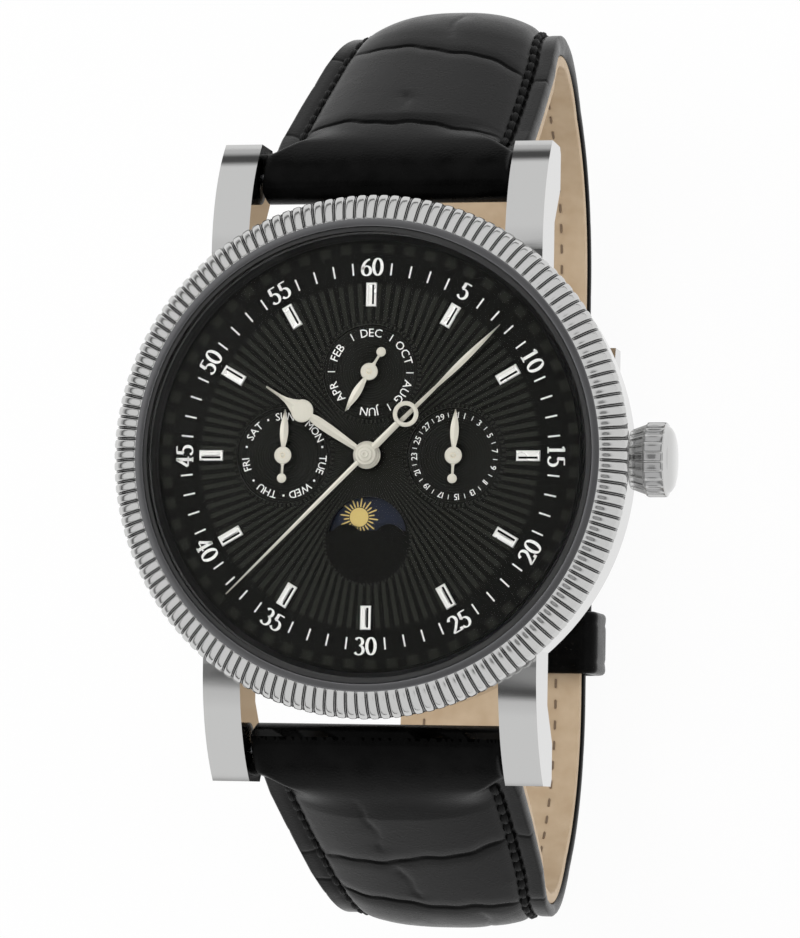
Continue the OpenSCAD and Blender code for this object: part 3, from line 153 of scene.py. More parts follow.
def look(azimuth, elevation, roll, distance, slide, focal):
    """back = (sin a cos e, sin e, cos a cos e); the view's right and up axes are then rolled. Angles
    are in degrees, the distance and the sideways slide in mm, and the focal length in pixels."""
    a, e, q = np.radians([azimuth, elevation, roll])
    back = np.array([np.sin(a) * np.cos(e), np.sin(e), np.cos(a) * np.cos(e)])
    right = np.array([np.cos(a), 0, -np.sin(a)])
    up = np.cross(back, right)
    right, up = np.cos(q) * right + np.sin(q) * up, np.cos(q) * up - np.sin(q) * right
    eye = np.array([0, 0, DIAL_Z]) + back * distance + right * slide[0] + up * slide[1]
    camera = bpy.data.objects.new("camera", bpy.data.cameras.new("camera"))
    bpy.context.scene.collection.objects.link(camera)
    turn = Matrix([list(right), list(up), list(back)]).transposed().to_4x4()
    camera.matrix_world = Matrix.Translation(Vector(eye * MM)) @ turn
    camera.data.sensor_fit = "VERTICAL"
    camera.data.sensor_height = SENSOR
    camera.data.lens = focal / PHOTO_HEIGHT * SENSOR
    camera.data.clip_start = 0.01
    bpy.context.scene.camera = camera
    return camera


camera = look(azimuth=11.801, elevation=-4.489, roll=1.021, distance=350, slide=(2.587, -1.097),
              focal=4199.5)
print("lens", round(camera.data.lens, 1), "mm")

# %% [markdown]
# ## Floor, walls and lamps
# The watch stands on a white floor. Polished steel shows only what is round it, so the room is planned
# as a mirror image: it is pale all round, and two dark bands give the thin dark lines that make steel
# read as steel. Three large soft lamps shade the leather and the edges, and reflections leave them
# out. The floor and the room are white to the camera through Light Path, which adds no light to the
# watch.

# %% Node helpers
def node(tree, kind, at=(0, 0), **values):
    """Adds a shader node. A value named in_Scale sets the input Scale, the others set properties."""
    n = tree.nodes.new(kind)
    n.location = at
    for key, value in values.items():
        if key.startswith("in_"):
            n.inputs[key[3:].replace("_", " ")].default_value = value
        else:
            setattr(n, key, value)
    return n


def join(tree, *pairs):
    """Links pairs of an output socket and an input socket."""
    for a, b in pairs:
        tree.links.new(a, b)


def maths(tree, operation, a, b=None, c=None, clamp=False):
    """One Math node. Each term is a socket or a number; the result is its output socket."""
    n = tree.nodes.new("ShaderNodeMath")
    n.operation = operation
    n.use_clamp = clamp
    for i, term in enumerate((a, b, c)):
        if term is None:
            continue
        if isinstance(term, (int, float)):
            n.inputs[i].default_value = term
        else:
            tree.links.new(term, n.inputs[i])
    return n.outputs[0]


def ramp(tree, fac, stops):
    """A Color Ramp with (place, colour) stops; a plain number is a grey."""
    n = tree.nodes.new("ShaderNodeValToRGB")
    line = n.color_ramp
    while len(line.elements) < len(stops):
        line.elements.new(0.5)
    for mark, (place, shade) in zip(line.elements, stops):
        mark.position = place
        mark.color = (shade, shade, shade, 1) if isinstance(shade, (int, float)) else (*shade, 1)
    tree.links.new(fac, n.inputs[0])
    return n.outputs[0]


# %% The room
# Greys of the room from straight behind the watch (0) over the side (0.5) to where the camera stands
# (1). The two narrow dark bands are the thin dark lines in the steel.
ROOM_GREYS = [(0.0, 0.7), (0.42, 0.7), (0.455, 0.1), (0.5, 0.1), (0.54, 0.95), (0.9, 0.95),
              (0.94, 0.8), (0.95, 0.1), (0.958, 0.1), (0.966, 0.48), (1.0, 0.4)]
FLOOR_GLOW = 0.94       # share of plain white in what the camera sees of the floor


def room(eye_way):
    """World light in bands about one fixed direction, and plain white behind everything.
    lift = 0.5 + 0.5 (way . eye_way) is 1 along that direction and 0.5 at a right angle to it."""
    world = bpy.data.worlds.new("room")
    bpy.context.scene.world = world
    world.use_nodes = True
    tree = world.node_tree
    tree.nodes.clear()
    way = node(tree, "ShaderNodeTexCoord", (-900, 0))
    facing = node(tree, "ShaderNodeVectorMath", (-700, 0), operation="DOT_PRODUCT")
    facing.inputs[1].default_value = eye_way
    lift = maths(tree, "MULTIPLY_ADD", facing.outputs["Value"], 0.5, 0.5)
    shade = ramp(tree, lift, ROOM_GREYS)
    paths = node(tree, "ShaderNodeLightPath", (-400, 300))
    glow = node(tree, "ShaderNodeBackground", (-100, -100), in_Strength=0.95)
    white = node(tree, "ShaderNodeBackground", (-100, 150), in_Color=(1, 1, 1, 1), in_Strength=1.0)
    seen = maths(tree, "MAXIMUM", paths.outputs["Is Camera Ray"], paths.outputs["Is Transmission Ray"])
    mix = node(tree, "ShaderNodeMixShader", (150, 0))
    out = node(tree, "ShaderNodeOutputWorld", (350, 0))
    join(tree, (way.outputs["Generated"], facing.inputs[0]), (shade, glow.inputs[0]),
         (seen, mix.inputs[0]), (glow.outputs[0], mix.inputs[1]),
         (white.outputs[0], mix.inputs[2]), (mix.outputs[0], out.inputs[0]))


def lamp(name, place, target, size, power):
    """A rectangular soft lamp that faces its target, in metres and watts, and isn't mirrored."""
    data = bpy.data.lights.new(name, "AREA")
    data.shape = "RECTANGLE"
    data.size, data.size_y = size
    data.energy = power
    obj = bpy.data.objects.new(name, data)
    bpy.context.scene.collection.objects.link(obj)
    obj.location = place
    obj.rotation_euler = (Vector(place) - Vector(target)).to_track_quat("Z", "Y").to_euler()
    obj.visible_glossy = False


def floor_finish():
    """White to the camera, with the shadow kept: a diffuse white lifted by a little camera glow. From
    below, the sheet is clear, so that a view from there shows the object's underside."""
    material = bpy.data.materials.new("floor_white")
    material.use_nodes = True
    tree = material.node_tree
    tree.nodes.clear()
    paths = node(tree, "ShaderNodeLightPath", (-500, 200))
    plain = node(tree, "ShaderNodeBsdfDiffuse", (-200, -100), in_Color=(0.86, 0.86, 0.86, 1))
    white = node(tree, "ShaderNodeEmission", (-200, 100), in_Color=(1, 1, 1, 1), in_Strength=1.0)
    seen = maths(tree, "MAXIMUM", paths.outputs["Is Camera Ray"], paths.outputs["Is Glossy Ray"])
    seen = maths(tree, "MAXIMUM", seen, paths.outputs["Is Transmission Ray"])
    share = maths(tree, "MULTIPLY", seen, FLOOR_GLOW)
    mix = node(tree, "ShaderNodeMixShader", (50, 0))
    side = node(tree, "ShaderNodeNewGeometry", (50, 250))
    clear = node(tree, "ShaderNodeBsdfTransparent", (50, -150))
    both = node(tree, "ShaderNodeMixShader", (250, 0))
    out = node(tree, "ShaderNodeOutputMaterial", (450, 0))
    join(tree, (share, mix.inputs[0]), (plain.outputs[0], mix.inputs[1]), (white.outputs[0], mix.inputs[2]),
         (side.outputs["Backfacing"], both.inputs[0]), (mix.outputs[0], both.inputs[1]),
         (clear.outputs[0], both.inputs[2]), (both.outputs[0], out.inputs[0]))
    return material


def floor():
    """A square sheet of half side 0.6 m, a hair under the buckle, which the watch stands on."""
    mesh = bpy.data.meshes.new("floor")
    half, under = 0.6, -2e-5
    corners = [(x * half, y * half, under) for x, y in ((-1, -1), (1, -1), (1, 1), (-1, 1))]
    mesh.from_pydata(corners, [], [(0, 1, 2, 3)])
    mesh.materials.append(floor_finish())
    obj = bpy.data.objects.new("floor", mesh)
    bpy.context.scene.collection.objects.link(obj)


room(camera.matrix_world.to_3x3().col[2])
floor()
middle = (0, 0, 0.05)
lamp("lamp_left", (-0.42, 0.18, 0.5), middle, (0.34, 0.5), 1.3)
lamp("lamp_right", (0.5, -0.1, 0.36), middle, (0.24, 0.5), 0.8)
lamp("lamp_top", (0.05, 0.5, 0.42), middle, (0.6, 0.24), 0.7)
bpy.context.scene.view_settings.view_transform = "Standard"

# %% [markdown]
# ## Effects that several finishes share
# Wear marks, leather grain and turned rings appear in more than one finish. Each is built once as a
# node group and gets its own numbers in each material. A group gives out only values that change over
# the surface; the shader itself stays in the material.

# %% Node groups
def effect(name, inputs, outputs):
    """An empty shader node group with float inputs (name, value) and outputs (name, kind)."""
    group = bpy.data.node_groups.new(name, "ShaderNodeTree")
    for label, value in inputs:
        s = group.interface.new_socket(label, in_out="INPUT", socket_type="NodeSocketFloat")
        s.default_value = value
    for label, kind in outputs:
        group.interface.new_socket(label, in_out="OUTPUT", socket_type="NodeSocket" + kind)
    return group, node(group, "NodeGroupInput", (-1200, 0)), node(group, "NodeGroupOutput", (600, 0))


def scaled_place(tree, stretch):
    """Object coordinates in millimetres, stretched along each axis."""
    place = node(tree, "ShaderNodeTexCoord", (-1100, -200))
    turn = node(tree, "ShaderNodeMapping", (-900, -200))
    turn.inputs["Scale"].default_value = [1000 * q for q in stretch]
    join(tree, (place.outputs["Object"], turn.inputs["Vector"]))
    return turn.outputs[0]


def handling_group():
    """Faint smudges and hairlines: one slow noise for roughness, one long thin noise for scratches."""
    group, source, out = effect("handling", [("Low", 0.08), ("High", 0.16), ("Scratch", 0.3)],
                                [("Roughness", "Float"), ("Height", "Float")])
    slow = node(group, "ShaderNodeTexNoise", (-600, 200), in_Scale=0.35, in_Detail=4.0)
    thin = node(group, "ShaderNodeTexNoise", (-600, -100), in_Scale=1.0, in_Detail=6.0, in_Roughness=0.65)
    join(group, (scaled_place(group, (1, 1, 1)), slow.inputs["Vector"]),
         (scaled_place(group, (0.6, 9, 3)), thin.inputs["Vector"]))
    spread = maths(group, "SUBTRACT", source.outputs["High"], source.outputs["Low"])
    rough = maths(group, "MULTIPLY_ADD", slow.outputs[0], spread, source.outputs["Low"])
    height = maths(group, "MULTIPLY", thin.outputs[0], source.outputs["Scratch"])
    join(group, (rough, out.inputs["Roughness"]), (height, out.inputs["Height"]))
    return group


def grain_group():
    """Leather: flat-topped cells with fine pores between them, over a slow unevenness."""
    group, source, out = effect("leather_grain", [("Cell size", 0.45), ("Depth", 1.0)],
                                [("Height", "Float"), ("Mask", "Float")])
    place = scaled_place(group, (1, 1, 1))
    fine = maths(group, "DIVIDE", 1.0, source.outputs["Cell size"])
    cells = node(group, "ShaderNodeTexVoronoi", (-600, 200), feature="DISTANCE_TO_EDGE")
    pores = node(group, "ShaderNodeTexNoise", (-600, -50), in_Detail=3.0)
    slow = node(group, "ShaderNodeTexNoise", (-600, -300), in_Scale=0.5, in_Detail=2.0)
    join(group, *((place, n.inputs["Vector"]) for n in (cells, pores, slow)),
         (fine, cells.inputs["Scale"]), (maths(group, "MULTIPLY", fine, 2.5), pores.inputs["Scale"]))
    top = maths(group, "SMOOTH_MIN", cells.outputs["Distance"], 0.22, 0.15)
    lift = maths(group, "MULTIPLY_ADD", pores.outputs[0], 0.12, top)
    lift = maths(group, "MULTIPLY_ADD", slow.outputs[0], 0.25, lift)
    join(group, (maths(group, "MULTIPLY", lift, source.outputs["Depth"]), out.inputs["Height"]),
         (slow.outputs[0], out.inputs["Mask"]))
    return group


def rings_group():
    """Circles about a point of the face, as a lathe or a guilloche leaves: sin(2 pi r / pitch)."""
    group, source, out = effect("turned_rings", [("Centre X", 0.0), ("Centre Y", 0.0), ("Pitch", 0.2)],
                                [("Height", "Float"), ("Radius", "Float"), ("Angle", "Float")])
    place = scaled_place(group, (1, 1, 1))
    parts = node(group, "ShaderNodeSeparateXYZ", (-700, 0))
    join(group, (place, parts.inputs[0]))
    x = maths(group, "SUBTRACT", parts.outputs[0], source.outputs["Centre X"])
    y = maths(group, "SUBTRACT", parts.outputs[1], source.outputs["Centre Y"])
    squares = maths(group, "ADD", maths(group, "MULTIPLY", x, x), maths(group, "MULTIPLY", y, y))
    r = maths(group, "SQRT", squares)
    round_it = maths(group, "MULTIPLY", r, 2 * math.pi)
    wave = maths(group, "SINE", maths(group, "DIVIDE", round_it, source.outputs["Pitch"]))
    join(group, (wave, out.inputs["Height"]), (r, out.inputs["Radius"]),
         (maths(group, "ARCTAN2", y, x), out.inputs["Angle"]))
    return group


HANDLING, GRAIN, RINGS = handling_group(), grain_group(), rings_group()


def use(tree, group, **values):
    """Places a node group in a material, with its own numbers by name."""
    n = tree.nodes.new("ShaderNodeGroup")
    n.node_tree = group
    for key, value in values.items():
        n.inputs[key.replace("_", " ")].default_value = value
    return n


# %% [markdown]
# ## Metals
# Polished steel is a mirror with a little grey in it, so almost all of its look comes from what it
# reflects. Smudges change its roughness slowly over the surface, and hairlines break the reflection a
# little. The works' brass and nickel have the same build with other numbers.

# %% Metal finishes
def finish(name, colour, metallic, roughness, **sockets):
    """A material with one Principled shader; sockets sets its other inputs by name."""
    material = bpy.data.materials.new(name)
    material.use_nodes = True
    shader = material.node_tree.nodes["Principled BSDF"]
    shader.inputs["Base Color"].default_value = (*colour, 1)
    shader.inputs["Metallic"].default_value = metallic
    shader.inputs["Roughness"].default_value = roughness
    for key, value in sockets.items():
        shader.inputs[key.replace("_", " ")].default_value = value
    return material, material.node_tree, shader


def bump(tree, shader, height, distance, strength=1.0):
    """Feeds a height (in units of distance, mm) to the shader's normal."""
    b = node(tree, "ShaderNodeBump", (-250, -300))
    b.inputs["Strength"].default_value = strength
    b.inputs["Distance"].default_value = distance * MM
    join(tree, (height, b.inputs["Height"]), (b.outputs[0], shader.inputs["Normal"]))


def speckle(tree, scale):
    """A noise on Object coordinates, with a scale per millimetre."""
    speck = node(tree, "ShaderNodeTexNoise", (-500, 0), in_Scale=scale)
    join(tree, (scaled_place(tree, (1, 1, 1)), speck.inputs["Vector"]))
    return speck.outputs[0]


def metal(name, colour, low, high, scratch=0.3, depth=0.003, share=1.0):
    """Metal whose roughness wanders between low and high, with hairlines of a depth in mm. A share
    under 1 makes it partly dull, as fine brushing does."""
    material, tree, shader = finish(name, colour, share, low)
    marks = use(tree, HANDLING, Low=low, High=high, Scratch=scratch)
    join(tree, (marks.outputs["Roughness"], shader.inputs["Roughness"]))
    bump(tree, shader, marks.outputs["Height"], depth)
    return material


def turned_metal(name, colour, low, high, centre=(0, 0), pitch=0.12, depth=0.004):
    """Metal with fine circles about a centre, as on wheels and plates."""
    material, tree, shader = finish(name, colour, 1.0, low)
    marks = use(tree, HANDLING, Low=low, High=high)
    rings = use(tree, RINGS, Centre_X=centre[0], Centre_Y=centre[1], Pitch=pitch)
    join(tree, (marks.outputs["Roughness"], shader.inputs["Roughness"]))
    bump(tree, shader, rings.outputs["Height"], depth, 0.6)
    return material


BRASS_COLOUR = (0.83, 0.62, 0.27)
STEEL = metal("polished_steel", (0.59, 0.59, 0.585), 0.04, 0.1)
HAND_STEEL = metal("hand_steel", (0.52, 0.50, 0.43), 0.35, 0.5, scratch=0.2, share=0.45)
PLAIN_STEEL = metal("plain_steel", (0.55, 0.56, 0.58), 0.2, 0.36)
BLUED = metal("blued_steel", (0.05, 0.11, 0.42), 0.15, 0.25)
BRASS = metal("brass", BRASS_COLOUR, 0.2, 0.32)
NICKEL = turned_metal("plated_brass", (0.72, 0.71, 0.68), 0.22, 0.34, pitch=0.5, depth=0.006)
print("metals:", STEEL.name, HAND_STEEL.name, BRASS.name, NICKEL.name)

# %% [markdown]
# ## The fluted bezel
# The bezel is a ring with 144 ribs. Each rib is a rounded half column with a groove on both sides, and
# between two ribs stands a thin raised line. It is worked out as one surface in polar form: the ring's
# section gives radius and height, and a wave round the ring pushes the points out along the section's
# normal. The waves fade out towards the smooth lip at the crystal.

# %% The bezel's surface
RIBS = 144
RIB_DEPTH, RIB_HALF, LINE_HALF = 0.34, 0.42, 0.035      # mm, and two shares of the pitch
# A darker copy of the rib steel for the faces deep in the grooves: painted shade.
GROOVE_SHADE_STEEL = metal("steel_in_grooves", (0.07, 0.07, 0.073), 0.2, 0.3)
# A darker copy of the steel for the smooth lip: a painted dark reflection.
LIP_SHADE_STEEL = metal("steel_lip_painted_dark", (0.17, 0.17, 0.175), 0.2, 0.3)
# Places across one pitch, closest together where the grooves' walls are
ACROSS = np.array([-0.5, -0.48, -0.46, -0.44, -0.425, -0.41, -0.39, -0.35, -0.25, -0.09,
                   0.09, 0.25, 0.35, 0.39, 0.41, 0.425, 0.44, 0.46, 0.48])


def rib_wave(q):
    """1 on a rib's flattened crown, 0 in the grooves, and a low line halfway between two ribs."""
    crown = np.sqrt(np.clip(1 - np.abs(q / RIB_HALF) ** 5, 0, None))
    line = 0.75 * np.sqrt(np.clip(1 - ((np.abs(q) - 0.5) / LINE_HALF) ** 2, 0, None))
    return np.maximum(crown, line)


def bezel_section():
    """Radius, height and outward normal down the ribbed face. Its corners are eased by moving each
    point halfway to the middle of its neighbours, twice."""
    marks = np.array([(19.7, 1.78), (19.82, 1.70), (20.1, 1.60), (20.6, 1.42), (21.1, 1.15), (21.5, 0.86),
                      (21.8, 0.5), (21.96, 0.15), (21.97, -0.05), (21.85, -0.24)])
    length = np.concatenate([[0], np.cumsum(np.linalg.norm(np.diff(marks, axis=0), axis=1))])
    at = np.linspace(0, length[-1], 22)
    line = np.stack([np.interp(at, length, marks[:, k]) for k in (0, 1)], 1)
    for _ in range(2):
        line[1:-1] = 0.25 * line[:-2] + 0.5 * line[1:-1] + 0.25 * line[2:]
    way = np.gradient(line, axis=0)
    normal = np.stack([-way[:, 1], way[:, 0]], 1) / np.linalg.norm(way, axis=1)[:, None]
    return line, normal, at / length[-1]


def bezel_surface():
    """Radius and height are the section's, less its normal times RIB_DEPTH (1 - wave) fade. The lip
    and the inner wall close the ring."""
    line, normal, share = bezel_section()
    fade = np.interp(share, [0, 0.03, 0.1, 0.93, 1], [0, 0.5, 1, 0.9, 0])
    q = np.tile(ACROSS, RIBS)
    turn = 2 * np.pi * (np.repeat(np.arange(RIBS), len(ACROSS)) + q) / RIBS
    d = RIB_DEPTH * (1 - rib_wave(q))[:, None] * fade[None, :]
    r = line[:, 0] - d * normal[:, 0]
    z = line[:, 1] - d * normal[:, 1]
    lip = np.array([(21.5, -0.3), (19.02, -0.3), (19.02, 1.5), (19.03, 1.79), (19.06, 1.83), (19.1, 1.85),
                    (19.16, 1.86), (19.58, 1.85), (19.64, 1.84), (19.68, 1.81)])
    r, z = (np.hstack([v, np.tile(lip[:, k], (len(q), 1))]) for k, v in enumerate((r, z)))
    t = turn[:, None]
    return np.stack([r * np.cos(t), r * np.sin(t), z + DIAL_Z], 2)


p = bezel_surface()
RIB_STEEL = metal("steel_ribs", (0.6, 0.6, 0.595), 0.1, 0.2)
bezel = solid("bezel_ribs", [(p, [grid_faces(*p.shape[:2], True, True)])], "watch", RIB_STEEL)
cell = np.arange(len(bezel.data.polygons))
step, down = (cell // p.shape[1]) % len(ACROSS), cell % p.shape[1]
low = rib_wave(ACROSS) < 0.6
groove = low[step] & low[(step + 1) % len(ACROSS)] & (down > 1) & (down < 20)
LIP_START = 25      # the section's points from here on are the lip
# Groove faces take the darker steel as painted shade, and the lip faces take the dark lip steel as a painted
# dark reflection.
shade_faces(bezel, np.where(down >= LIP_START, 2, groove), GROOVE_SHADE_STEEL, LIP_SHADE_STEEL)
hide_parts("bezel")
print("bezel faces:", len(bezel.data.polygons))

# %% [markdown]
# ## The crown
# The crown is a cone, a barrel and a rounded end, turned about the stem's axis. Twenty-four hollow
# flutes run over the cone and the barrel with sharp ridges between them, and the dome stays bare.

# %% The crown's surface
FLUTES, FLUTE_DEPTH = 24, 0.22
CROWN_X, STEM_DROP = 21.55, 3.75        # the cone's start, and the stem's axis under the dial plane
CROWN = np.array([(0.0, 1.7), (0.0, 2.42), (0.1, 2.5), (0.35, 2.59), (0.7, 2.72), (1.2, 2.9),
                  (1.33, 2.98), (1.36, 3.08), (1.5, 3.12), (1.9, 3.12), (2.3, 3.12), (2.75, 3.12),
                  (2.9, 3.11), (3.0, 3.08), (3.08, 2.95), (3.12, 2.8), (3.35, 2.62), (3.55, 2.3),
                  (3.68, 1.8), (3.76, 1.1), (3.79, 0.4)])
FLUTE = np.array([-0.5, -0.475, -0.44, -0.4, -0.34, -0.24, -0.12, 0,
                  0.12, 0.24, 0.34, 0.4, 0.44, 0.475])


def crown_surface():
    """Radius along the axis less the flutes: R(x) - FLUTE_DEPTH f(x) sqrt(1 - |q / 0.47|^4)."""
    x, r = CROWN[:, 0], CROWN[:, 1]
    fade = np.interp(x, [0.1, 0.35, 2.8, 3.0], [0, 1, 1, 0])
    q = np.tile(FLUTE, FLUTES)[:, None]
    t = 2 * np.pi * (np.repeat(np.arange(FLUTES), len(FLUTE))[:, None] + q) / FLUTES
    rr = r - FLUTE_DEPTH * fade * np.sqrt(np.clip(1 - np.abs(q / 0.47) ** 4, 0, None))
    return np.stack([CROWN_X + x + 0 * t, rr * np.cos(t), rr * np.sin(t) + DIAL_Z - STEM_DROP], 2)


p = crown_surface().transpose(1, 0, 2)
crown = solid("crown_fluted", capped(p), "crown", STEEL)
cell = np.arange(len(crown.data.polygons))
floor_part = np.abs(np.append(FLUTE, 0.5)) < 0.42
step, along = cell % p.shape[1] % len(FLUTE), np.minimum(cell // p.shape[1], len(CROWN) - 1)
flutes = floor_part[step] & floor_part[step + 1] & (CROWN[along, 0] > 0.3) & (CROWN[along, 0] < 2.85)
# Faces on the flutes' floors take a darker steel: painted shade in the flutes.
shade_faces(crown, flutes, metal("steel_in_flutes", (0.42, 0.42, 0.42), 0.15, 0.25))
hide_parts("crown")

# %% [markdown]
# ## The black dial
# The dial is a lacquered disc with rays pressed into it, three sunk sub-dials with fine rings, and a
# toothed ring round each of them. All of that is shallower than a hair, so it is a pattern of height
# and shade in the material and not in the mesh. The dial's own solid carries it, with its real holes.

# %% The dial's finish
def dress(material, *names):
    """Gives CAD nodes a material in place of their own."""
    for name in names:
        mesh = nodes[name].data
        mesh.materials.clear()
        mesh.materials.append(material)


SUB_DIALS = {"month": (0.0, 7.0), "weekday": (-7.25, 0.0), "date": (7.25, 0.0)}
RAYS = 108
SKY_Y = -7.1        # the day and night disc's axis


def band(tree, value, low, high, soft):
    """1 between two values, with soft edges of the given width."""
    up = maths(tree, "MULTIPLY", maths(tree, "SUBTRACT", value, low), 1 / soft, clamp=True)
    down = maths(tree, "MULTIPLY", maths(tree, "SUBTRACT", high, value), 1 / soft, clamp=True)
    return maths(tree, "MULTIPLY", up, down)


def teeth_wave(tree, angle, count, sharp=2.5):
    """A wave with flat tops round a circle: clamp(0.5 + sharp sin(count angle))."""
    wave = maths(tree, "SINE", maths(tree, "MULTIPLY", angle, float(count)))
    return maths(tree, "MULTIPLY_ADD", wave, sharp, 0.5, clamp=True)


def dial_finish():
    """Black lacquer whose relief is the highest of the rays, the sub-dials' rings and teeth, the teeth round
    the aperture and the rim's teeth. The relief bends the light, and it also lifts the colour a little: a
    painted sheen on the raised parts."""
    material, tree, shader = finish("dial_black", (0.01, 0.01, 0.01), 0.0, 0.3, Specular_IOR_Level=0.06)
    middle = use(tree, RINGS, Pitch=0.2)
    r, angle = middle.outputs["Radius"], middle.outputs["Angle"]
    rays = maths(tree, "MULTIPLY", teeth_wave(tree, angle, RAYS), band(tree, r, 1.2, 14.55, 0.3))
    rim = maths(tree, "MULTIPLY", teeth_wave(tree, angle, 60, 1.0), band(tree, r, 16.9, 17.9, 0.2))
    plain, rings = None, None
    for x, y in SUB_DIALS.values():
        part = use(tree, RINGS, Centre_X=x, Centre_Y=y, Pitch=0.21)
        inside = band(tree, part.outputs["Radius"], -1.0, 4.05, 0.04)
        toothed = maths(tree, "MULTIPLY", teeth_wave(tree, part.outputs["Angle"], 72),
                        band(tree, part.outputs["Radius"], 3.98, 4.35, 0.05))
        ring = maths(tree, "MULTIPLY", maths(tree, "MULTIPLY_ADD", part.outputs["Height"], 0.5, 0.5), inside)
        ring = maths(tree, "MAXIMUM", maths(tree, "MULTIPLY", ring, 0.55), toothed)
        cover = band(tree, part.outputs["Radius"], -1.0, 4.4, 0.05)
        rings = ring if rings is None else maths(tree, "MAXIMUM", rings, ring)
        plain = cover if plain is None else maths(tree, "MAXIMUM", plain, cover)
    moon = use(tree, RINGS, Centre_X=0.0, Centre_Y=SKY_Y, Pitch=0.2)
    near = band(tree, moon.outputs["Radius"], -1.0, 3.75, 0.05)
    moon_teeth = maths(tree, "MULTIPLY", teeth_wave(tree, moon.outputs["Angle"], 72),
                       band(tree, moon.outputs["Radius"], 3.55, 3.8, 0.05))
    plain = maths(tree, "MAXIMUM", plain, near)
    open_field = maths(tree, "SUBTRACT", 1.0, plain)
    relief_and_sheen = maths(tree, "MAXIMUM", maths(tree, "MULTIPLY", rays, open_field), rings)
    relief_and_sheen = maths(tree, "MAXIMUM", relief_and_sheen, moon_teeth)
    relief_and_sheen = maths(tree, "MAXIMUM", relief_and_sheen, maths(tree, "MULTIPLY", rim, 0.85))
    # The raised parts get a lighter black: painted sheen on the relief.
    join(tree, (ramp(tree, relief_and_sheen, [(0.0, (0.004, 0.0042, 0.0034)), (1.0, (0.017, 0.0175, 0.0145))]),
                shader.inputs["Base Color"]))
    bump(tree, shader, relief_and_sheen, 0.03, 0.8)
    return material


DIAL_BLACK = dial_finish()
dress(DIAL_BLACK, "dial")

# %% [markdown]
# ## Printed numerals
# The minute numerals are printed with a broad pen's contrast: upright strokes are thick and level
# strokes are thin. Blender's own letter shape is plain, so the digits are drawn here as pen strokes:
# a centre line, and a width that follows the line's direction. The bars and ticks are strokes too.

# %% Pen strokes
def arc(cx, cy, rx, ry, start, end, count=14):
    """Points (cx + rx cos t, cy + ry sin t) between two angles in degrees."""
    t = np.radians(np.linspace(start, end, count))
    return np.stack([cx + rx * np.cos(t), cy + ry * np.sin(t)], 1)


def line(*points):
    """A path given point by point."""
    return np.array(points, float)


DIGITS = {
    "0": [arc(0.3, 0.5, 0.24, 0.46, 0, 360, 30)],
    "1": [line((0.3, 0.0), (0.3, 0.5), (0.3, 0.97)), line((0.3, 0.95), (0.12, 0.84)),
          line((0.13, 0.025), (0.47, 0.025))],
    "2": [np.vstack([arc(0.28, 0.7, 0.22, 0.26, 165, -25, 14), line((0.28, 0.3), (0.06, 0.05))]),
          line((0.05, 0.05), (0.54, 0.05)), line((0.54, 0.03), (0.56, 0.2))],
    "3": [arc(0.26, 0.74, 0.2, 0.22, 150, -80), arc(0.25, 0.28, 0.25, 0.26, 85, -150)],
    "4": [line((0.4, 0.0), (0.4, 0.5), (0.4, 0.97)), line((0.4, 0.95), (0.22, 0.62), (0.03, 0.3)),
          line((0.03, 0.28), (0.57, 0.28)), line((0.27, 0.02), (0.53, 0.02))],
    "5": [line((0.15, 0.94), (0.5, 0.94)), line((0.15, 0.94), (0.13, 0.56)),
          arc(0.25, 0.31, 0.25, 0.28, 122, -150)],
    "6": [arc(0.6, 0.34, 0.53, 0.6, 103, 180), arc(0.3, 0.28, 0.23, 0.26, 0, 360, 26)],
}


def stroke(path, thick, thin, height=0.02):
    """Bars of four corners along a path. Width = thin + (thick - thin) (|dy| / |d|)^1.5."""
    way = np.gradient(path, axis=0)
    way /= np.linalg.norm(way, axis=1)[:, None]
    side = np.stack([-way[:, 1], way[:, 0]], 1)
    half = (thin + (thick - thin) * np.abs(way[:, 1]) ** 1.5)[:, None] / 2
    a, b = path - side * half, path + side * half
    corners = ((a, -0.004), (b, -0.004), (b, height), (a, height))
    return np.stack([np.hstack([q, np.full((len(path), 1), z)]) for q, z in corners], 1)


def placed(parts, angle, radius, height, flip=False, centre=(0.0, 0.0), z=DIAL_Z):
    """Lays strokes drawn round (0, 0), one unit high, at a clock angle and a radius, with a height in
    mm; flip makes them readable on the dial's lower half."""
    done = []
    for points, faces in parts:
        q = np.array(points, float)
        size = -height if flip else height
        x, y = clock(q[..., 0] * size, q[..., 1] * size + radius, angle, centre)
        done.append((np.stack([x, y, q[..., 2] + z], -1), faces))
    return done


def number(text, advance=0.64):
    """Digits side by side, centred on (0, 0), one unit high."""
    parts = []
    for k, digit in enumerate(text):
        shift = np.array([(k - (len(text) - 1) / 2) * advance - 0.3, -0.5, 0])
        for path in DIGITS[digit]:
            parts += [(q + shift, f) for q, f in capped(stroke(path, thick=0.17, thin=0.07))]
    return parts


# %% The minute track
PRINT, tree, shader = finish("white_print", (0.78, 0.78, 0.76), 0.0, 0.45)
whites = ramp(tree, speckle(tree, 9.0), [(0.3, (0.66, 0.66, 0.64)), (0.7, (0.84, 0.84, 0.82))])
join(tree, (whites, shader.inputs["Base Color"]))

TICK = capped(stroke(line((0, -0.5), (0, 0.5)), 0.13, 0.13))
track = []
for minute in range(60):
    if minute % 5:
        track += placed(TICK, minute * 6, radius=15.7, height=1.0)
for minute in range(5, 65, 5):
    track += placed(number(str(minute)), minute * 6, radius=15.85, height=1.5, flip=20 <= minute <= 40)
printed = solid("minute_print", track, "watch", PRINT, smooth=False)
print("minute print faces:", len(printed.data.polygons))

# %% [markdown]
# ## Words on the sub-dials
# Months, weekdays and dates are plain functional lettering. Blender's own letter shapes suit them:
# each letter becomes a mesh once, and is then laid on its circle at its own width.

# %% Letters
LETTERS = {}
CAPITAL = 0.69      # a capital's height in Blender's letter shape of size 1


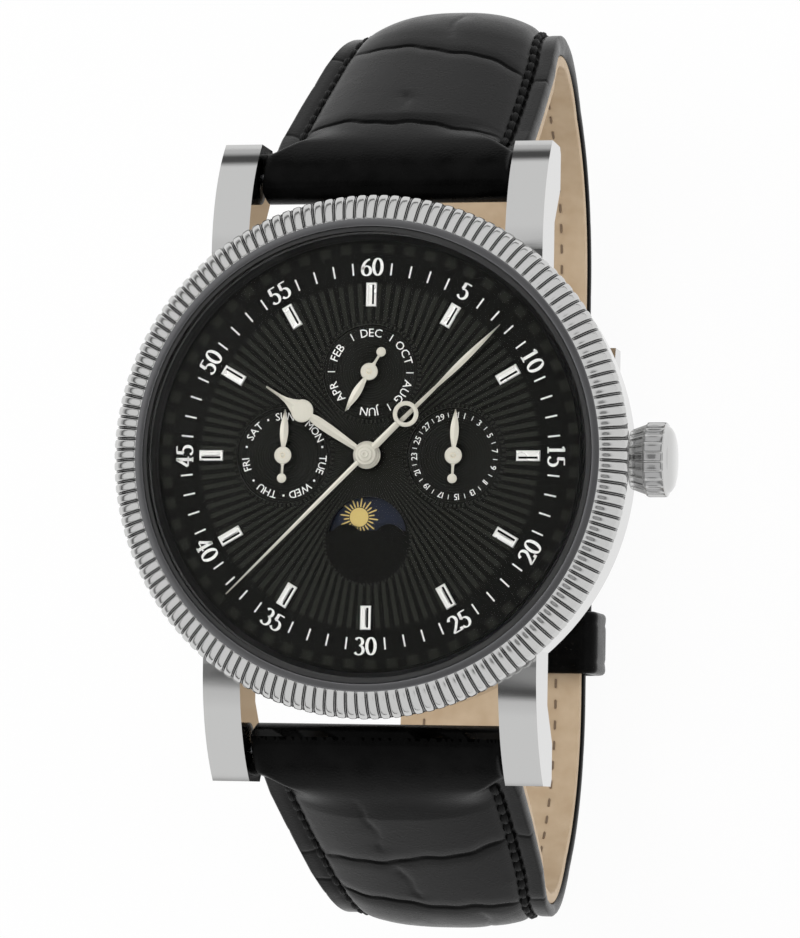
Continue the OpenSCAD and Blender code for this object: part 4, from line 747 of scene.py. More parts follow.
def letter(symbol):
    """(points, triangles, width) of one letter, one unit tall at the capital's height."""
    if symbol not in LETTERS:
        data = bpy.data.curves.new("letter", "FONT")
        data.body = symbol
        data.size = 1.0
        data.extrude = 0.02
        data.resolution_u = 2
        obj = bpy.data.objects.new("letter", data)
        bpy.context.scene.collection.objects.link(obj)
        bpy.context.view_layer.update()
        mesh = bpy.data.meshes.new_from_object(obj.evaluated_get(bpy.context.evaluated_depsgraph_get()))
        co = np.zeros(len(mesh.vertices) * 3)
        mesh.vertices.foreach_get("co", co)
        mesh.calc_loop_triangles()
        tris = np.zeros(len(mesh.loop_triangles) * 3, np.int32)
        mesh.loop_triangles.foreach_get("vertices", tris)
        bpy.data.objects.remove(obj)
        bpy.data.meshes.remove(mesh)
        co = co.reshape(-1, 3) / np.array([CAPITAL, CAPITAL, 1.0])
        left, right = co[:, 0].min(), co[:, 0].max()
        co[:, 0] -= (left + right) / 2
        LETTERS[symbol] = (co, tris.reshape(-1, 3), right - left)
    return LETTERS[symbol]


def word(text, angle, radius, height, centre, z, gap=0.16):
    """Letters along a circle, each turned to its own place, tops outward."""
    widths = [letter(c)[2] + gap for c in text]
    starts = np.cumsum([0] + widths[:-1]) + np.array(widths) / 2 - sum(widths) / 2
    parts = []
    for c, shift in zip(text, starts):
        co, tris, _ = letter(c)
        co = co - np.array([0, 0.5, 0])
        step = np.degrees(shift * height / radius)
        parts += placed([(co, [tris])], angle + step, radius, height, centre=centre, z=z)
    return parts


words = []
z = DIAL_Z - 0.1        # the sunk sub-dials' face
for k, text in enumerate(["DEC", "OCT", "AUG", "JUN", "APR", "FEB"]):
    words += word(text, k * 60, 3.33, 0.68, SUB_DIALS["month"], z)
    words += placed(TICK, k * 60 + 31, 3.35, 0.62, centre=SUB_DIALS["month"], z=z)
dot = capped(stroke(line((0, -0.5), (0, 0.5)), 1.0, 1.0))
for k, text in enumerate(["SUN", "MON", "TUE", "WED", "THU", "FRI", "SAT"]):
    words += word(text, k * 360 / 7, 3.33, 0.62, SUB_DIALS["weekday"], z, gap=0.13)
    words += placed(dot, (k + 0.5) * 360 / 7, 3.33, 0.16, centre=SUB_DIALS["weekday"], z=z)
for day in range(1, 32):
    angle = 2.0 + (day % 31) * 360 / 31
    if day % 2:
        words += word(str(day), angle, 3.42, 0.5, SUB_DIALS["date"], z, gap=0.1)
    else:
        words += placed(TICK, angle, 3.45, 0.38, centre=SUB_DIALS["date"], z=z)
lettering = solid("sub_dial_print", words, "watch", PRINT, smooth=False)
print("lettering faces:", len(lettering.data.polygons))

# %% [markdown]
# ## Applied hour batons
# A baton is a small polished frame: a bevelled rim round a sunk bottom, with a black bar along one side, a
# painted dark reflection on the side away from the light. It is drawn as rectangles of points, one inside
# the next, each at its own height.

# %% The batons
BATON_START, BATON_LENGTH = 12.5, 2.0       # mm from the dial's middle, and along the baton


def baton(width=0.88, height=0.3):
    """Nested rectangles (inset, drop at the left, drop at the right) below the baton's height."""
    rings = [(0, height, height), (0, 0.06, 0.06), (0.06, 0, 0), (0.16, 0, 0), (0.2, 0.17, 0.08),
             (0.4, 0.2, 0.1)]
    rows = []
    for inset, left, right in rings:
        x, y0, y1 = width / 2 - inset, BATON_START + inset, BATON_START + BATON_LENGTH - inset
        left, right = height - left, height - right
        rows.append([(-x, y0, left), (x, y0, right), (x, y1, right), (-x, y1, left)])
    return capped(np.array(rows))


def enamel(side, near=0.07, far=0.25, low=0.08, high=0.22):
    """A black bar in the baton's hollow, between two distances from its middle line: a painted dark
    reflection along one side.
    """
    x0, x1 = sorted((side * near, side * far))
    ends = (BATON_START + 0.18, BATON_START + BATON_LENGTH - 0.18)
    rows = [[(x0, y, low), (x1, y, low), (x1, y, high), (x0, y, high)] for y in ends]
    return capped(np.array(rows))


BRIGHT_STEEL = metal("bright_steel", (0.8, 0.8, 0.77), 0.22, 0.34, share=0.6)
# Near-black with little shine: painted shade, for the dark strips in the batons and the dark holes at the
# calendar hands' hubs.
BLACK_SHADE, _, _ = finish("black_painted_shade", (0.004, 0.004, 0.004), 0.0, 0.25, Specular_IOR_Level=0.1)
batons, shade_bars = [], []
for hour in range(12):
    t = np.radians(hour * 30)
    # The black bar goes on the side turned away from the light, as a painted dark reflection.
    side = 1 if np.cos(t) + 0.5 * np.sin(t) > 0 else -1     # on the side where the photograph has it
    batons += placed(baton(), hour * 30, radius=0, height=1)
    shade_bars += placed(enamel(side), hour * 30, radius=0, height=1)
piece = solid("batons", batons, "watch", BRIGHT_STEEL, smooth=False)
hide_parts("hour_batons")
solid("baton_painted_shade", shade_bars, "watch", BLACK_SHADE, smooth=False)

# %% [markdown]
# ## The hands
# Real hands are stamped from thin strip, then faceted or domed. Each is a low roof along its length,
# so that its two sides take the light differently. Discs and hubs are turned and slightly domed.

# %% Hand shapes
def blade(lengths, halves, thick=0.16, ridge=0.3):
    """Five-cornered sections along +Y: flat under, a low roof on top. Half widths follow the length."""
    y = np.asarray(lengths, float)[:, None]
    w = np.asarray(halves, float)[:, None]
    edge = thick * ridge
    x = np.hstack([-w, w, w, 0 * w, -w])
    z = np.tile([0.0, 0.0, edge, thick, edge], (len(y), 1))
    return capped(np.stack([x, y + 0 * x, z], 2))


def disc(radius, y=0.0, thick=0.14, hole=0.0, count=40):
    """A turned coin: (radius, height) rows with a rounded rim, round a point on the hand. Without a
    hole it is domed by 0.03 mm."""
    inner, dome = (hole, (0.01, 0)) if hole else (0.001, (0.02, 0.03))
    r = [inner, radius - 0.05, radius, radius, radius - 0.06, radius * 0.5 + hole / 2, inner]
    z = [0, 0, 0.05, thick - 0.05, thick, thick + dome[0], thick + dome[1]]
    p = turned(np.stack([r, z], 1), count)
    p[..., 1] += y
    return [(p, [grid_faces(*p.shape[:2], True, True)])]


def leaf(y0, y1, wide, at=0.5, tip=0.03, root=0.1, count=16):
    """Half width: root at the start, wide at the share `at` of the length, and tip at the end."""
    s = np.linspace(0, 1, count)
    rise, fall = np.clip(s / at, 0, 1), np.clip((s - at) / (1 - at), 0, 1)
    w = np.where(s < at, root + (wide - root) * np.sin(np.pi / 2 * rise) ** 1.3,
                 tip + (wide - tip) * np.clip(np.cos(np.pi / 2 * fall), 0, 1) ** 1.1)
    return blade(y0 + (y1 - y0) * s, w)


def hand(name, shapes, angle, lift, old, centre=(0.0, 0.0)):
    """Turns shapes drawn along +Y to a clock angle and lays them at a height over the dial."""
    parts = placed(shapes, angle, radius=0, height=1, centre=centre, z=lift + DIAL_Z)
    piece = solid(name, parts, old, HAND_STEEL, smooth=False)
    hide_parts(old)


# %% The hands
# Each hand is a node and a body of the same name.
hour_shapes = disc(1.16, hole=0.55) + leaf(0.9, 6.2, 0.42, at=0.75, tip=0.2, root=0.24) + disc(0.96, 6.7)
hour_shapes += blade([7.1, 7.5, 7.9, 8.4, 9.0, 10.4], [0.78, 0.6, 0.4, 0.23, 0.13, 0.08])
hand("hour_blade", hour_shapes, 303.4, 0.75, "hour_hand")
minute_shapes = disc(1.05, hole=0.48) + blade([0.8, 4, 8], [0.3, 0.2, 0.14])
minute_shapes += leaf(8, 15.5, 0.25, at=0.42, tip=0.02, root=0.12)
hand("minute_blade", minute_shapes, 45.8, 1.05, "minute_hand")
second_shapes = disc(0.9) + disc(0.62, thick=0.3) + disc(0.34, thick=0.42, hole=0.12)
second_shapes += blade([0.5, 6, 16.5], [0.2, 0.16, 0.05], thick=0.1)
second_shapes += blade([-3.75, -2, -0.5], [0.2, 0.22, 0.24], thick=0.12)
second_shapes += disc(1.08, -4.75, thick=0.15, hole=0.72, count=56)
hand("second_blade", second_shapes, 225, 1.35, "second_hand")

# %% The calendar hands
small = disc(0.73, thick=0.12, hole=0.16) + leaf(0.62, 3.85, 0.36, at=0.42, root=0.16)
small += disc(0.2, thick=0.19) + blade([-1.7, -0.9, -0.62], [0.1, 0.11, 0.2], thick=0.1)
small += disc(0.4, -1.92, thick=0.12)
for name, angle in (("month", 211), ("weekday", 2), ("date", 2)):
    hand(name + "_blade", small, angle, 0.42, name + "_hand", SUB_DIALS[name])
    # A black disc over the hub's hole: painted shade for the dark pivot hole.
    eye = placed(disc(0.17), 0, radius=0, height=1, centre=SUB_DIALS[name], z=DIAL_Z + 0.44)
    solid(name + "_painted_hole_shade", eye, name + "_hand", BLACK_SHADE)
print("hands made")

# %% [markdown]
# ## Crystal, gasket and flange
# The crystal is clear and coated, so it hardly reflects and the dial stays black under it. Its own
# solid is already a true dome, and only needs a finish. The black flange and gasket under it are the
# dark rings between the steel lip and the dial.

# %% Clear and dark finishes
CRYSTAL, _, _ = finish("crystal", (1, 1, 1), 0.0, 0.0, Transmission_Weight=1.0, IOR=1.06)
RUBY, _, _ = finish("ruby", (0.62, 0.02, 0.08), 0.0, 0.05, Transmission_Weight=0.4, IOR=1.6)
RUBBER, tree, shader = finish("gasket", (0.02, 0.02, 0.02), 0.0, 0.6)
bump(tree, shader, speckle(tree, 6.0), 0.01)
BLACK_METAL, tree, shader = finish("black_metal", (0.012, 0.012, 0.012), 0.0, 0.28)
join(tree, (use(tree, HANDLING, Low=0.22, High=0.4).outputs["Roughness"], shader.inputs["Roughness"]))

# %% [markdown]
# ## The works
# The works sit behind the dial and show through the back window. Bridges and rotor are nickel with
# fine stripes, the wheels are brass with turned circles, and the screws and the hairspring are blued.
# Their solids are right as they are, so each only gets its finish.

# %% Finishes for the carried-over pieces
def striped(name, colour, pitch):
    """Nickel with straight raised stripes: height |sin(pi (0.8 x + 0.6 y) / pitch)|."""
    material, tree, shader = finish(name, colour, 1.0, 0.25)
    marks = use(tree, HANDLING, Low=0.18, High=0.3)
    parts = node(tree, "ShaderNodeSeparateXYZ", (-700, -100))
    join(tree, (scaled_place(tree, (1, 1, 1)), parts.inputs[0]))
    slant = maths(tree, "MULTIPLY", parts.outputs[1], 0.6)
    slant = maths(tree, "MULTIPLY_ADD", parts.outputs[0], 0.8, slant)
    wave = maths(tree, "ABSOLUTE", maths(tree, "SINE", maths(tree, "MULTIPLY", slant, math.pi / pitch)))
    join(tree, (marks.outputs["Roughness"], shader.inputs["Roughness"]))
    bump(tree, shader, wave, 0.05, 0.7)
    return material


STRIPED = striped("striped_nickel", (0.74, 0.73, 0.7), 1.5)


def night_finish():
    """Navy lacquer. On the night half, y < SKY_Y, small cells of a cell pattern are stars."""
    navy, gold = (0.003, 0.006, 0.017), (0.8, 0.65, 0.25)
    material, tree, shader = finish("night_blue", navy, 0.0, 0.3, Specular_IOR_Level=0.2)
    place = scaled_place(tree, (1, 1, 1))
    cells = node(tree, "ShaderNodeTexVoronoi", (-700, 0), in_Scale=1.4)
    parts = node(tree, "ShaderNodeSeparateXYZ", (-700, -300))
    join(tree, (place, cells.inputs["Vector"]), (place, parts.inputs[0]))
    star = maths(tree, "LESS_THAN", cells.outputs["Distance"], 0.13)
    star = maths(tree, "MULTIPLY", star, maths(tree, "LESS_THAN", parts.outputs[1], SKY_Y))
    join(tree, (ramp(tree, star, [(0.0, navy), (1.0, gold)]), shader.inputs["Base Color"]))
    return material


dress(STEEL, "case_middle", "case_back", "buckle", "buckle_tang")
dress(PLAIN_STEEL, "crown_tube", "spring_bars", "mainspring", "barrel_arbor", "ratchet_wheel", "click",
      "escape_wheel", "pallet_fork", "cannon_pinion", "rotor_bearing", "winding_stem", "sliding_pinion",
      "setting_lever")
dress(CRYSTAL, "crystal", "back_crystal")
dress(RUBBER, "crystal_gasket", "back_gasket", "crown_gasket")
dress(BLACK_METAL, "rehaut")
dress(NICKEL, "movement_ring", "mainplate")
dress(STRIPED, "barrel_bridge", "train_bridge", "balance_cock", "winding_rotor")
dress(BLUED, "bridge_screws", "hairspring")
dress(RUBY, "jewels")
dress(BRASS, "barrel_cover", "balance_wheel", "minute_wheel", "hour_wheel", "month_star",
      "weekday_star", "date_star")
AXES = {"barrel": (0, 6.72), "centre_wheel": (0, 0), "third_wheel": (-4.58, -2.86), "second_wheel": (0, 0)}
for name, centre in AXES.items():
    dress(turned_metal(name + "_brass", BRASS_COLOUR, 0.2, 0.3, centre, 0.15), name)
dress(night_finish(), "day_night_disc")

# %% [markdown]
# ## The sun in the aperture
# The day half of the disc shows through the arched opening at 6 o'clock. The sun is a gilt disc with
# long and short rays by turns, and the hidden half carries a crescent. All are thin flat pieces that
# ride on the disc.

# %% Sun and moon
GILT = metal("gilt", (0.5, 0.38, 0.13), 0.3, 0.45, share=0.5)
SKY_R, SKY_TOP = 2.17, DIAL_Z - 0.5     # the sun's distance from the disc's axis, and the disc's face
lean = np.radians(22.5)


def two_levels(outline, z, thick=0.03):
    """An outline at two heights, as two rings of points."""
    q = np.asarray(outline, float)
    return np.stack([np.column_stack([q, np.full(len(q), z + h)]) for h in (0, thick)])


def ring_of(x, y, rx, ry, angles):
    """Points (x + rx cos t, y + ry sin t) at the given angles."""
    return np.stack([x + rx * np.cos(angles), y + ry * np.sin(angles)], 1)


def ray(x, y, angle, inner, outer, half=0.055):
    """A thin ray of a sun at (x, y): a strip with a pointed end."""
    c, s = np.cos(angle), np.sin(angle)
    rows = [(inner, -half), (outer - 0.1, -half), (outer, 0), (outer - 0.1, half), (inner, half)]
    return capped(two_levels([(x + a * c - b * s, y + a * s + b * c) for a, b in rows], SKY_TOP))


sun_x, sun_y = -SKY_R * np.sin(lean), SKY_Y + SKY_R * np.cos(lean)
t = np.linspace(0, 2 * np.pi, 40, endpoint=False)
sky_shapes = capped(two_levels(ring_of(sun_x, sun_y, 0.8, 0.8, t), SKY_TOP, 0.05))
for i in range(24):
    sky_shapes += ray(sun_x, sun_y, (i + 0.5) * np.pi / 12, 0.86, 1.35 + 0.3 * (i % 2))
# The crescent runs round its outer bow and back along its inner one, and its faces join the two.
HORN = 28
moon_x, moon_y = -sun_x, 2 * SKY_Y - sun_y
outer = ring_of(moon_x, moon_y, 0.9, 0.9, np.linspace(0.6, 2 * np.pi - 0.6, HORN))
inner = ring_of(moon_x + 0.25, moon_y, 0.62, 0.72, np.linspace(2 * np.pi - 0.9, 0.9, HORN))
rows = two_levels(np.vstack([outer, inner]), SKY_TOP)
k = np.arange(HORN - 1)
pairs = np.stack([k, k + 1, 2 * HORN - 2 - k, 2 * HORN - 1 - k], 1)
faces = np.vstack([grid_faces(2, 2 * HORN, False, True), pairs[:, ::-1], pairs + 2 * HORN])
sky_shapes.append((rows.reshape(-1, 3), [faces]))
sky = solid("sun_and_moon", sky_shapes, "day_night_disc", GILT, smooth=False)
print("sun at", round(float(sun_x), 2), round(float(sun_y), 2))

# %% [markdown]
# ## The strap's path
# Each half of the strap leaves its spring bar in a straight run, turns on one arc and then lies flat.
# The same three stretches are worked out here as points with an outward normal. Everything on the
# strap is then given by two numbers: how far along the path it is, and how far across.

# %% The path
ROOT = 2.2                              # radius of the strap's end round the spring bar
BAR_Y, BAR_Z = 24.4, -6.8               # the bar's axis, from the dial's middle and plane
STRAIGHT, LOOP_DEPTH, STEP = 26, 57, 0.1


def strap_path(splay, side, flat_end, bend=None):
    """Rows of (y, z, normal y, normal z, length) every 0.1 mm along the lining's inner face. The
    length is 0 beside the spring bar's axis; bend = (start, end, drop) lowers the flat stretch."""
    s = np.radians(splay)
    n, way = np.array([np.cos(s), np.sin(s)]), np.array([np.sin(s), -np.cos(s)])
    p0 = np.array([BAR_Y, BAR_Z]) - ROOT * n
    p1 = p0 + STRAIGHT * way
    radius = (LOOP_DEPTH + p1[1]) / (1 + np.sin(s))
    middle = p1 - radius * n
    a = p0 + np.linspace(-ROOT, STRAIGHT, 283)[:, None] * way
    t = np.linspace(s, -np.pi / 2, int(radius * (s + np.pi / 2) / STEP))[1:]
    b = middle + radius * np.stack([np.cos(t), np.sin(t)], 1)
    y = np.arange(middle[0] - STEP, flat_end, -STEP)
    z = np.full(len(y), -float(LOOP_DEPTH))
    if bend:
        z -= bend[2] * eased((bend[0] - y) / (bend[0] - bend[1]))
    yz = np.vstack([a, b, np.stack([y, z], 1)])
    turn = np.gradient(yz, axis=0)
    turn /= np.linalg.norm(turn, axis=1)[:, None]
    length = np.concatenate([[0], np.cumsum(np.linalg.norm(np.diff(yz, axis=0), axis=1))]) - ROOT
    return np.stack([yz[:, 0] * side, yz[:, 1] + DIAL_Z, -turn[:, 1] * side, turn[:, 0], length], 1)


UPPER = strap_path(32.5, 1, -19.35, (13.0, 5.6, 2.9))
LOWER = strap_path(28.0, -1, -6.25)


def on_path(path, s, offset, x):
    """Points at length s along the path, offset outwards from it and x across; all arrays alike."""
    y, z, ny, nz = (np.interp(s, path[:, 4], path[:, k]) for k in range(4))
    return np.stack(np.broadcast_arrays(x, y + ny * offset, z + nz * offset), -1)


WIDTH_DEPTHS = [8.8, 11, 14, 20, 28, 34, 50]
HALF_WIDTHS = [10.85, 10.95, 11.1, 10.95, 10.6, 9.95, 9.0]


def half_width(path, s):
    """10.85 mm between the lugs, a little more below them, and 9 mm from 50 mm under the dial."""
    depth = DIAL_Z - np.interp(s, path[:, 4], path[:, 1])
    return np.interp(depth, WIDTH_DEPTHS, HALF_WIDTHS)


def rounded_tip(w, s, tip):
    """Half widths that close in a round tip over the last stretch: w sqrt(1 - q^2.2), q from 0 to 1."""
    if not tip:
        return w
    return w * np.sqrt(np.clip(1 - np.clip((s - s[-1] + tip) / tip, 0, 1) ** 2.2, 0.0004, 1))


print("strap lengths:", round(UPPER[-1, 4], 1), "and", round(LOWER[-1, 4], 1), "mm")

# %% [markdown]
# ## Padded leather with pressed scales
# The outer leather is drawn over a soft filling, so it is thick along the middle and thin at the
# stitched edges. Scales are pressed into it: wavy creases run across, and short creases cross them
# between. The relief is a height over the two strap coordinates, so it is part of the surface, while
# the finer grain comes from the material.

# %% The leather's relief
# For each half: cross creases as (length, slant), then lengthwise ones as (across, start, end)
UPPER_MARKS = ([(6.4, -0.14), (22.3, -0.28), (36, 0.1), (47, -0.15), (57, 0.1), (66, -0.1), (74, 0.12),
                (82, 0)],
               [(-0.3, 8.5, 13.0), (1.4, 24.5, 31.0), (-4.2, 37, 46), (3.6, 48, 56), (-2.0, 58, 65),
                (4.4, 67, 73)])
LOWER_MARKS = ([(16.4, -0.2), (26.0, 0.16), (37, -0.1), (47, 0.12), (58, 0)],
               [(-2.6, 4.5, 15.0), (-1.0, 16.5, 25.0), (4.0, 27, 36), (-3.4, 38, 46), (2.2, 48, 56)])
CREASE_DEPTH, CHANNEL_DEPTH, STITCH_INSET = 0.26, 0.3, 2.0     # mm


def valley(distance, width):
    """A pressed line: a narrow bottom and soft shoulders, from 1 at the middle to 0."""
    return 0.65 * np.exp(-(distance / width) ** 2) + 0.35 * np.exp(-(distance / (5 * width)) ** 2)


def creases(s, x, marks):
    """Depth 0 to 1: the deepest of all the wavy lines, each a valley across its own direction."""
    depth = np.zeros(s.shape)
    for middle, slant in marks[0]:
        line = middle + slant * x + 0.25 * np.sin(0.9 * x + middle) + 0.1 * np.sin(2.3 * x + 2 * middle)
        depth = np.maximum(depth, valley(s - line, 0.2))
    for column, start, end in marks[1]:
        window = np.clip((s - start) / 2.5, 0, 1) * np.clip((end - s) / 1.5, 0, 1)
        line = column + 0.5 * np.sin(0.35 * s + column) + 0.12 * np.sin(1.3 * s)
        depth = np.maximum(depth, 0.6 * window * valley(x - line, 0.18))
    return depth


SHOULDER = 5.0      # mm along the path, where the roll over the bar is at its highest


def bar_round(s):
    """How far a half round of radius ROOT has fallen, before the spring bar's axis."""
    return ROOT - np.sqrt(np.clip(ROOT ** 2 - np.clip(s, -ROOT, 0) ** 2, 0, None))


def outer_height(path, s, x, thick, pad, marks):
    """Edge height + pad (1 - |x / (w - 1.7)|^2.6)^0.9 - stitch channel - creases, above the lining's
    inner face. Before the spring bar's axis the end is a half round. Up to SHOULDER the middle is a
    quarter ellipse instead, which rises from ROOT to the full thickness, because there the filling
    rolls down over the bar. It blends into the rest over the next millimetres and towards the edges."""
    w = half_width(path, s)
    crown = pad(s) * (1 - np.clip(np.abs(x) / (w - 1.7), 0, 1) ** 2.6) ** 0.9
    channel = CHANNEL_DEPTH * np.exp(-((np.abs(x) - (w - STITCH_INSET)) / 0.5) ** 2)
    channel = channel * np.clip((s - 3) / 1.5, 0, 1)
    inside = 0.45 + 0.55 * np.clip((w - 2.4 - np.abs(x)) / 0.8, 0, 1)
    pressed = CREASE_DEPTH * creases(s, x, marks) * inside * np.clip((s - 1) / 3, 0, 1)
    edge = thick(s) + crown - channel - pressed - bar_round(s)
    full = thick(SHOULDER) + pad(SHOULDER)
    fall = (SHOULDER - np.minimum(s, SHOULDER)) / (SHOULDER + ROOT)
    hump = ROOT + (full - ROOT) * np.sqrt(np.clip(1 - fall ** 2, 0, None))
    narrow = eased((s - 0.3) / (SHOULDER - 0.3))
    middle = eased((w + 0.1 - 1.4 * narrow - np.abs(x)) / (0.9 + 2.1 * narrow))
    middle = middle * eased((SHOULDER + 2 - s) / 4.5)
    return edge + middle * (hump - pressed - edge)


def inner_height(s, lining=1.0):
    """The leather's inner side: round the spring bar, then on the lining."""
    return bar_round(s) + (lining + 0.01) * np.clip(s / 0.4, 0, 1)


def leather_body(name, path, s_range, thick, pad, marks, tip=0.0, count=640):
    """Closed ring sections along the path: outer face, right edge, inner face, left edge."""
    s = np.linspace(*s_range, count)
    w = rounded_tip(half_width(path, s) - 0.3, s, tip)
    u = np.linspace(-1, 1, 91)
    u = np.sign(u) * (1 - (1 - np.abs(u)) ** 1.25)
    x = w[:, None] * u
    ss = np.repeat(s[:, None], len(u), 1)
    top = on_path(path, ss, outer_height(path, ss, x, thick, pad, marks), x)
    high = outer_height(path, s, w, thick, pad, marks)[:, None]
    low = inner_height(s)[:, None]
    q = np.linspace(0.15, np.pi - 0.15, 9)[None, :]
    edge = (high + low) / 2 + (high - low) / 2 * np.cos(q)
    right = on_path(path, s[:, None] + 0 * q, edge, w[:, None] + 0.3 * np.sin(q))
    left = on_path(path, s[:, None] + 0 * q, edge, -w[:, None] - 0.3 * np.sin(q))[:, ::-1]
    bottom = on_path(path, ss[:, ::9], low + 0 * ss[:, ::9], x[:, ::9])[:, ::-1]
    return solid(name, capped(np.concatenate([top, right, bottom, left], 1)), "watch", None)


def slab(path, s, low, high, left, right, soft=0.2):
    """A strip with rounded corners between two heights and two sides, as ring sections."""
    sections = np.broadcast_arrays(s, low, high, left, right)
    s, low, high, left, right = (np.asarray(v, float)[:, None] for v in sections)
    q = np.radians(np.array([0, 30, 60, 90]))
    cos, sin = np.cos(q)[None, :], np.sin(q)[None, :]
    r = np.minimum(soft, (high - low) / 2.01)
    mid = np.linspace(0, 1, 9)[None, 1:-1]
    x = np.hstack([right - r + r * cos, right - r + (left - right + 2 * r) * mid,
                   left + r - r * sin, left + r - r * cos, left + r + (right - left - 2 * r) * mid,
                   right - r + r * sin])
    y = np.hstack([high - r + r * sin, high + 0 * mid, high - r + r * cos, low + r - r * sin, low + 0 * mid,
                   low + r - r * cos])
    return capped(on_path(path, s + 0 * x, y, x))


def cut(piece, cutters):
    """Cuts closed shapes out of a piece with a Boolean modifier, and keeps the result as its mesh."""
    tool = solid("cutter", cutters, "watch", None)
    modifier = piece.modifiers.new("cut", "BOOLEAN")
    modifier.operation, modifier.object, modifier.solver = "DIFFERENCE", tool, "EXACT"
    modifier.use_self = True
    bpy.context.view_layer.update()
    mesh = bpy.data.meshes.new_from_object(piece.evaluated_get(bpy.context.evaluated_depsgraph_get()))
    piece.modifiers.clear()
    piece.data = mesh
    bpy.data.objects.remove(tool)
    return piece


# %% Leather and thread finishes
def leather(name, dark, light, low, high, cell, depth, shine):
    """Leather between two colours and two roughnesses, with grain of a cell size and depth in mm."""
    material, tree, shader = finish(name, dark, 0.0, low, Specular_IOR_Level=shine)
    grain = use(tree, GRAIN, Cell_size=cell, Depth=1.0)
    rough = maths(tree, "MULTIPLY_ADD", grain.outputs["Mask"], high - low, low)
    join(tree, (ramp(tree, grain.outputs["Mask"], [(0.3, dark), (0.7, light)]), shader.inputs["Base Color"]),
         (rough, shader.inputs["Roughness"]))
    bump(tree, shader, grain.outputs["Height"], depth, 0.5)
    return material


BLACK_LEATHER = leather("black_leather", (0.001, 0.001, 0.001), (0.003, 0.003, 0.003), low=0.18, high=0.36,
                        cell=0.42, depth=0.05, shine=0.045)
TAN_LEATHER = leather("tan_leather", (0.47, 0.35, 0.23), (0.54, 0.42, 0.29), low=0.5, high=0.7,
                      cell=0.5, depth=0.03, shine=0.3)


def thread(name, colour, **sockets):
    """Dull thread with a fine twist across it."""
    material, tree, shader = finish(name, colour, 0.0, 0.6, **sockets)
    twist = node(tree, "ShaderNodeTexWave", (-600, 0), in_Scale=2.2)
    join(tree, (scaled_place(tree, (1, 1, 1)), twist.inputs["Vector"]))
    bump(tree, shader, twist.outputs["Fac"], 0.05)
    return material


BLACK_THREAD = thread("black_thread", (0.003, 0.003, 0.003), Specular_IOR_Level=0.15)
BROWN_THREAD = thread("brown_thread", (0.2, 0.14, 0.09))


# %% The two halves
def by_length(*pairs):
    """A value that runs evenly between (length, value) pairs."""
    s, v = np.array(pairs, float).T
    return lambda q: np.interp(q, s, v)


UPPER_THICK = by_length((-2.2, 4.4), (0.3, 4.35), (2, 3.7), (3.6, 3.1), (8, 2.9), (40, 2.8), (50, 2.4),
                        (120, 2.4))
UPPER_PAD = by_length((-2.2, 0), (0.3, 0.05), (2, 0.7), (3.6, 1.4), (8, 1.9), (34, 2.3), (46, 0.8),
                      (58, 0.1), (120, 0))
LOWER_THICK = by_length((-2.2, 4.4), (0.3, 4.35), (2, 3.7), (3.6, 3.0), (8, 2.8), (28, 2.1), (38, 2.2),
                        (50, 2.5), (120, 2.5))
LOWER_PAD = by_length((-2.2, 0), (0.3, 0.05), (2, 0.7), (3.6, 1.4), (8, 1.8), (28, 1.5), (46, 0.6),
                      (58, 0.1), (120, 0))
UPPER_SHAPE = (UPPER_THICK, UPPER_PAD, UPPER_MARKS)
LOWER_SHAPE = (LOWER_THICK, LOWER_PAD, LOWER_MARKS)
upper_end, lower_end = UPPER[-1, 4], LOWER[-1, 4]
tongue_start = lower_end - 9.0      # from here on the lower half is two tongues round the tang
upper = leather_body("leather_upper", UPPER, (-ROOT, upper_end), *UPPER_SHAPE, tip=9.0)
lower = leather_body("leather_lower", LOWER, (-ROOT, tongue_start), *LOWER_SHAPE, count=480)

# %% The tongues round the buckle's bar
EYE = 1.27      # half the thickness at the buckle's bar, mm
s = np.linspace(tongue_start - 0.3, lower_end, 60)
over = np.clip((s - (lower_end - EYE)) / EYE, 0, 0.9995)
half = EYE * np.sqrt(1 - over ** 2)
base = np.clip((tongue_start + 1.5 - s) / 0.3, 0, 1)
tongues = []
for left, right in ((-9.0, -1.1), (1.1, 9.0)):
    tongues += slab(LOWER, s, EYE + 0.01 - half + base, EYE + 0.01 + half, left, right)
ends = solid("leather_lower_ends", tongues, "watch", BLACK_LEATHER)
for piece, old in ((upper, "strap_upper"), (lower, "strap_lower")):
    piece.data.materials.append(BLACK_LEATHER)
    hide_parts(old)
print("leather faces:", len(upper.data.polygons), len(lower.data.polygons))

# %% [markdown]
# ## Linings, stitches and keepers
# The tan lining is a thinner strip on the inner side of the same path. Stitches are short rounded
# lengths of thread at an even pitch: dark ones on the outer face, brown ones on the lining.

# %% Linings
def lining(name, path, old, s_end, tip=0.0, count=300):
    """The lining: 1 mm thick, 0.25 mm inside the leather's edges, thinning out to nothing at the bar."""
    s = np.linspace(0.15, s_end, count)
    w = rounded_tip(half_width(path, s) - 0.25, s, tip)
    thick = np.clip(s / 0.4, 0.1, 1) * 0.99
    piece = solid(name, slab(path, s, 0.0, thick, -w, w, 0.15), "watch", TAN_LEATHER)
    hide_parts(old)
    return piece


upper_lining = lining("lining_upper_soft", UPPER, "lining_upper", upper_end - 0.2, tip=9.0, count=420)
lining("lining_lower_soft", LOWER, "lining_lower", tongue_start, count=240)


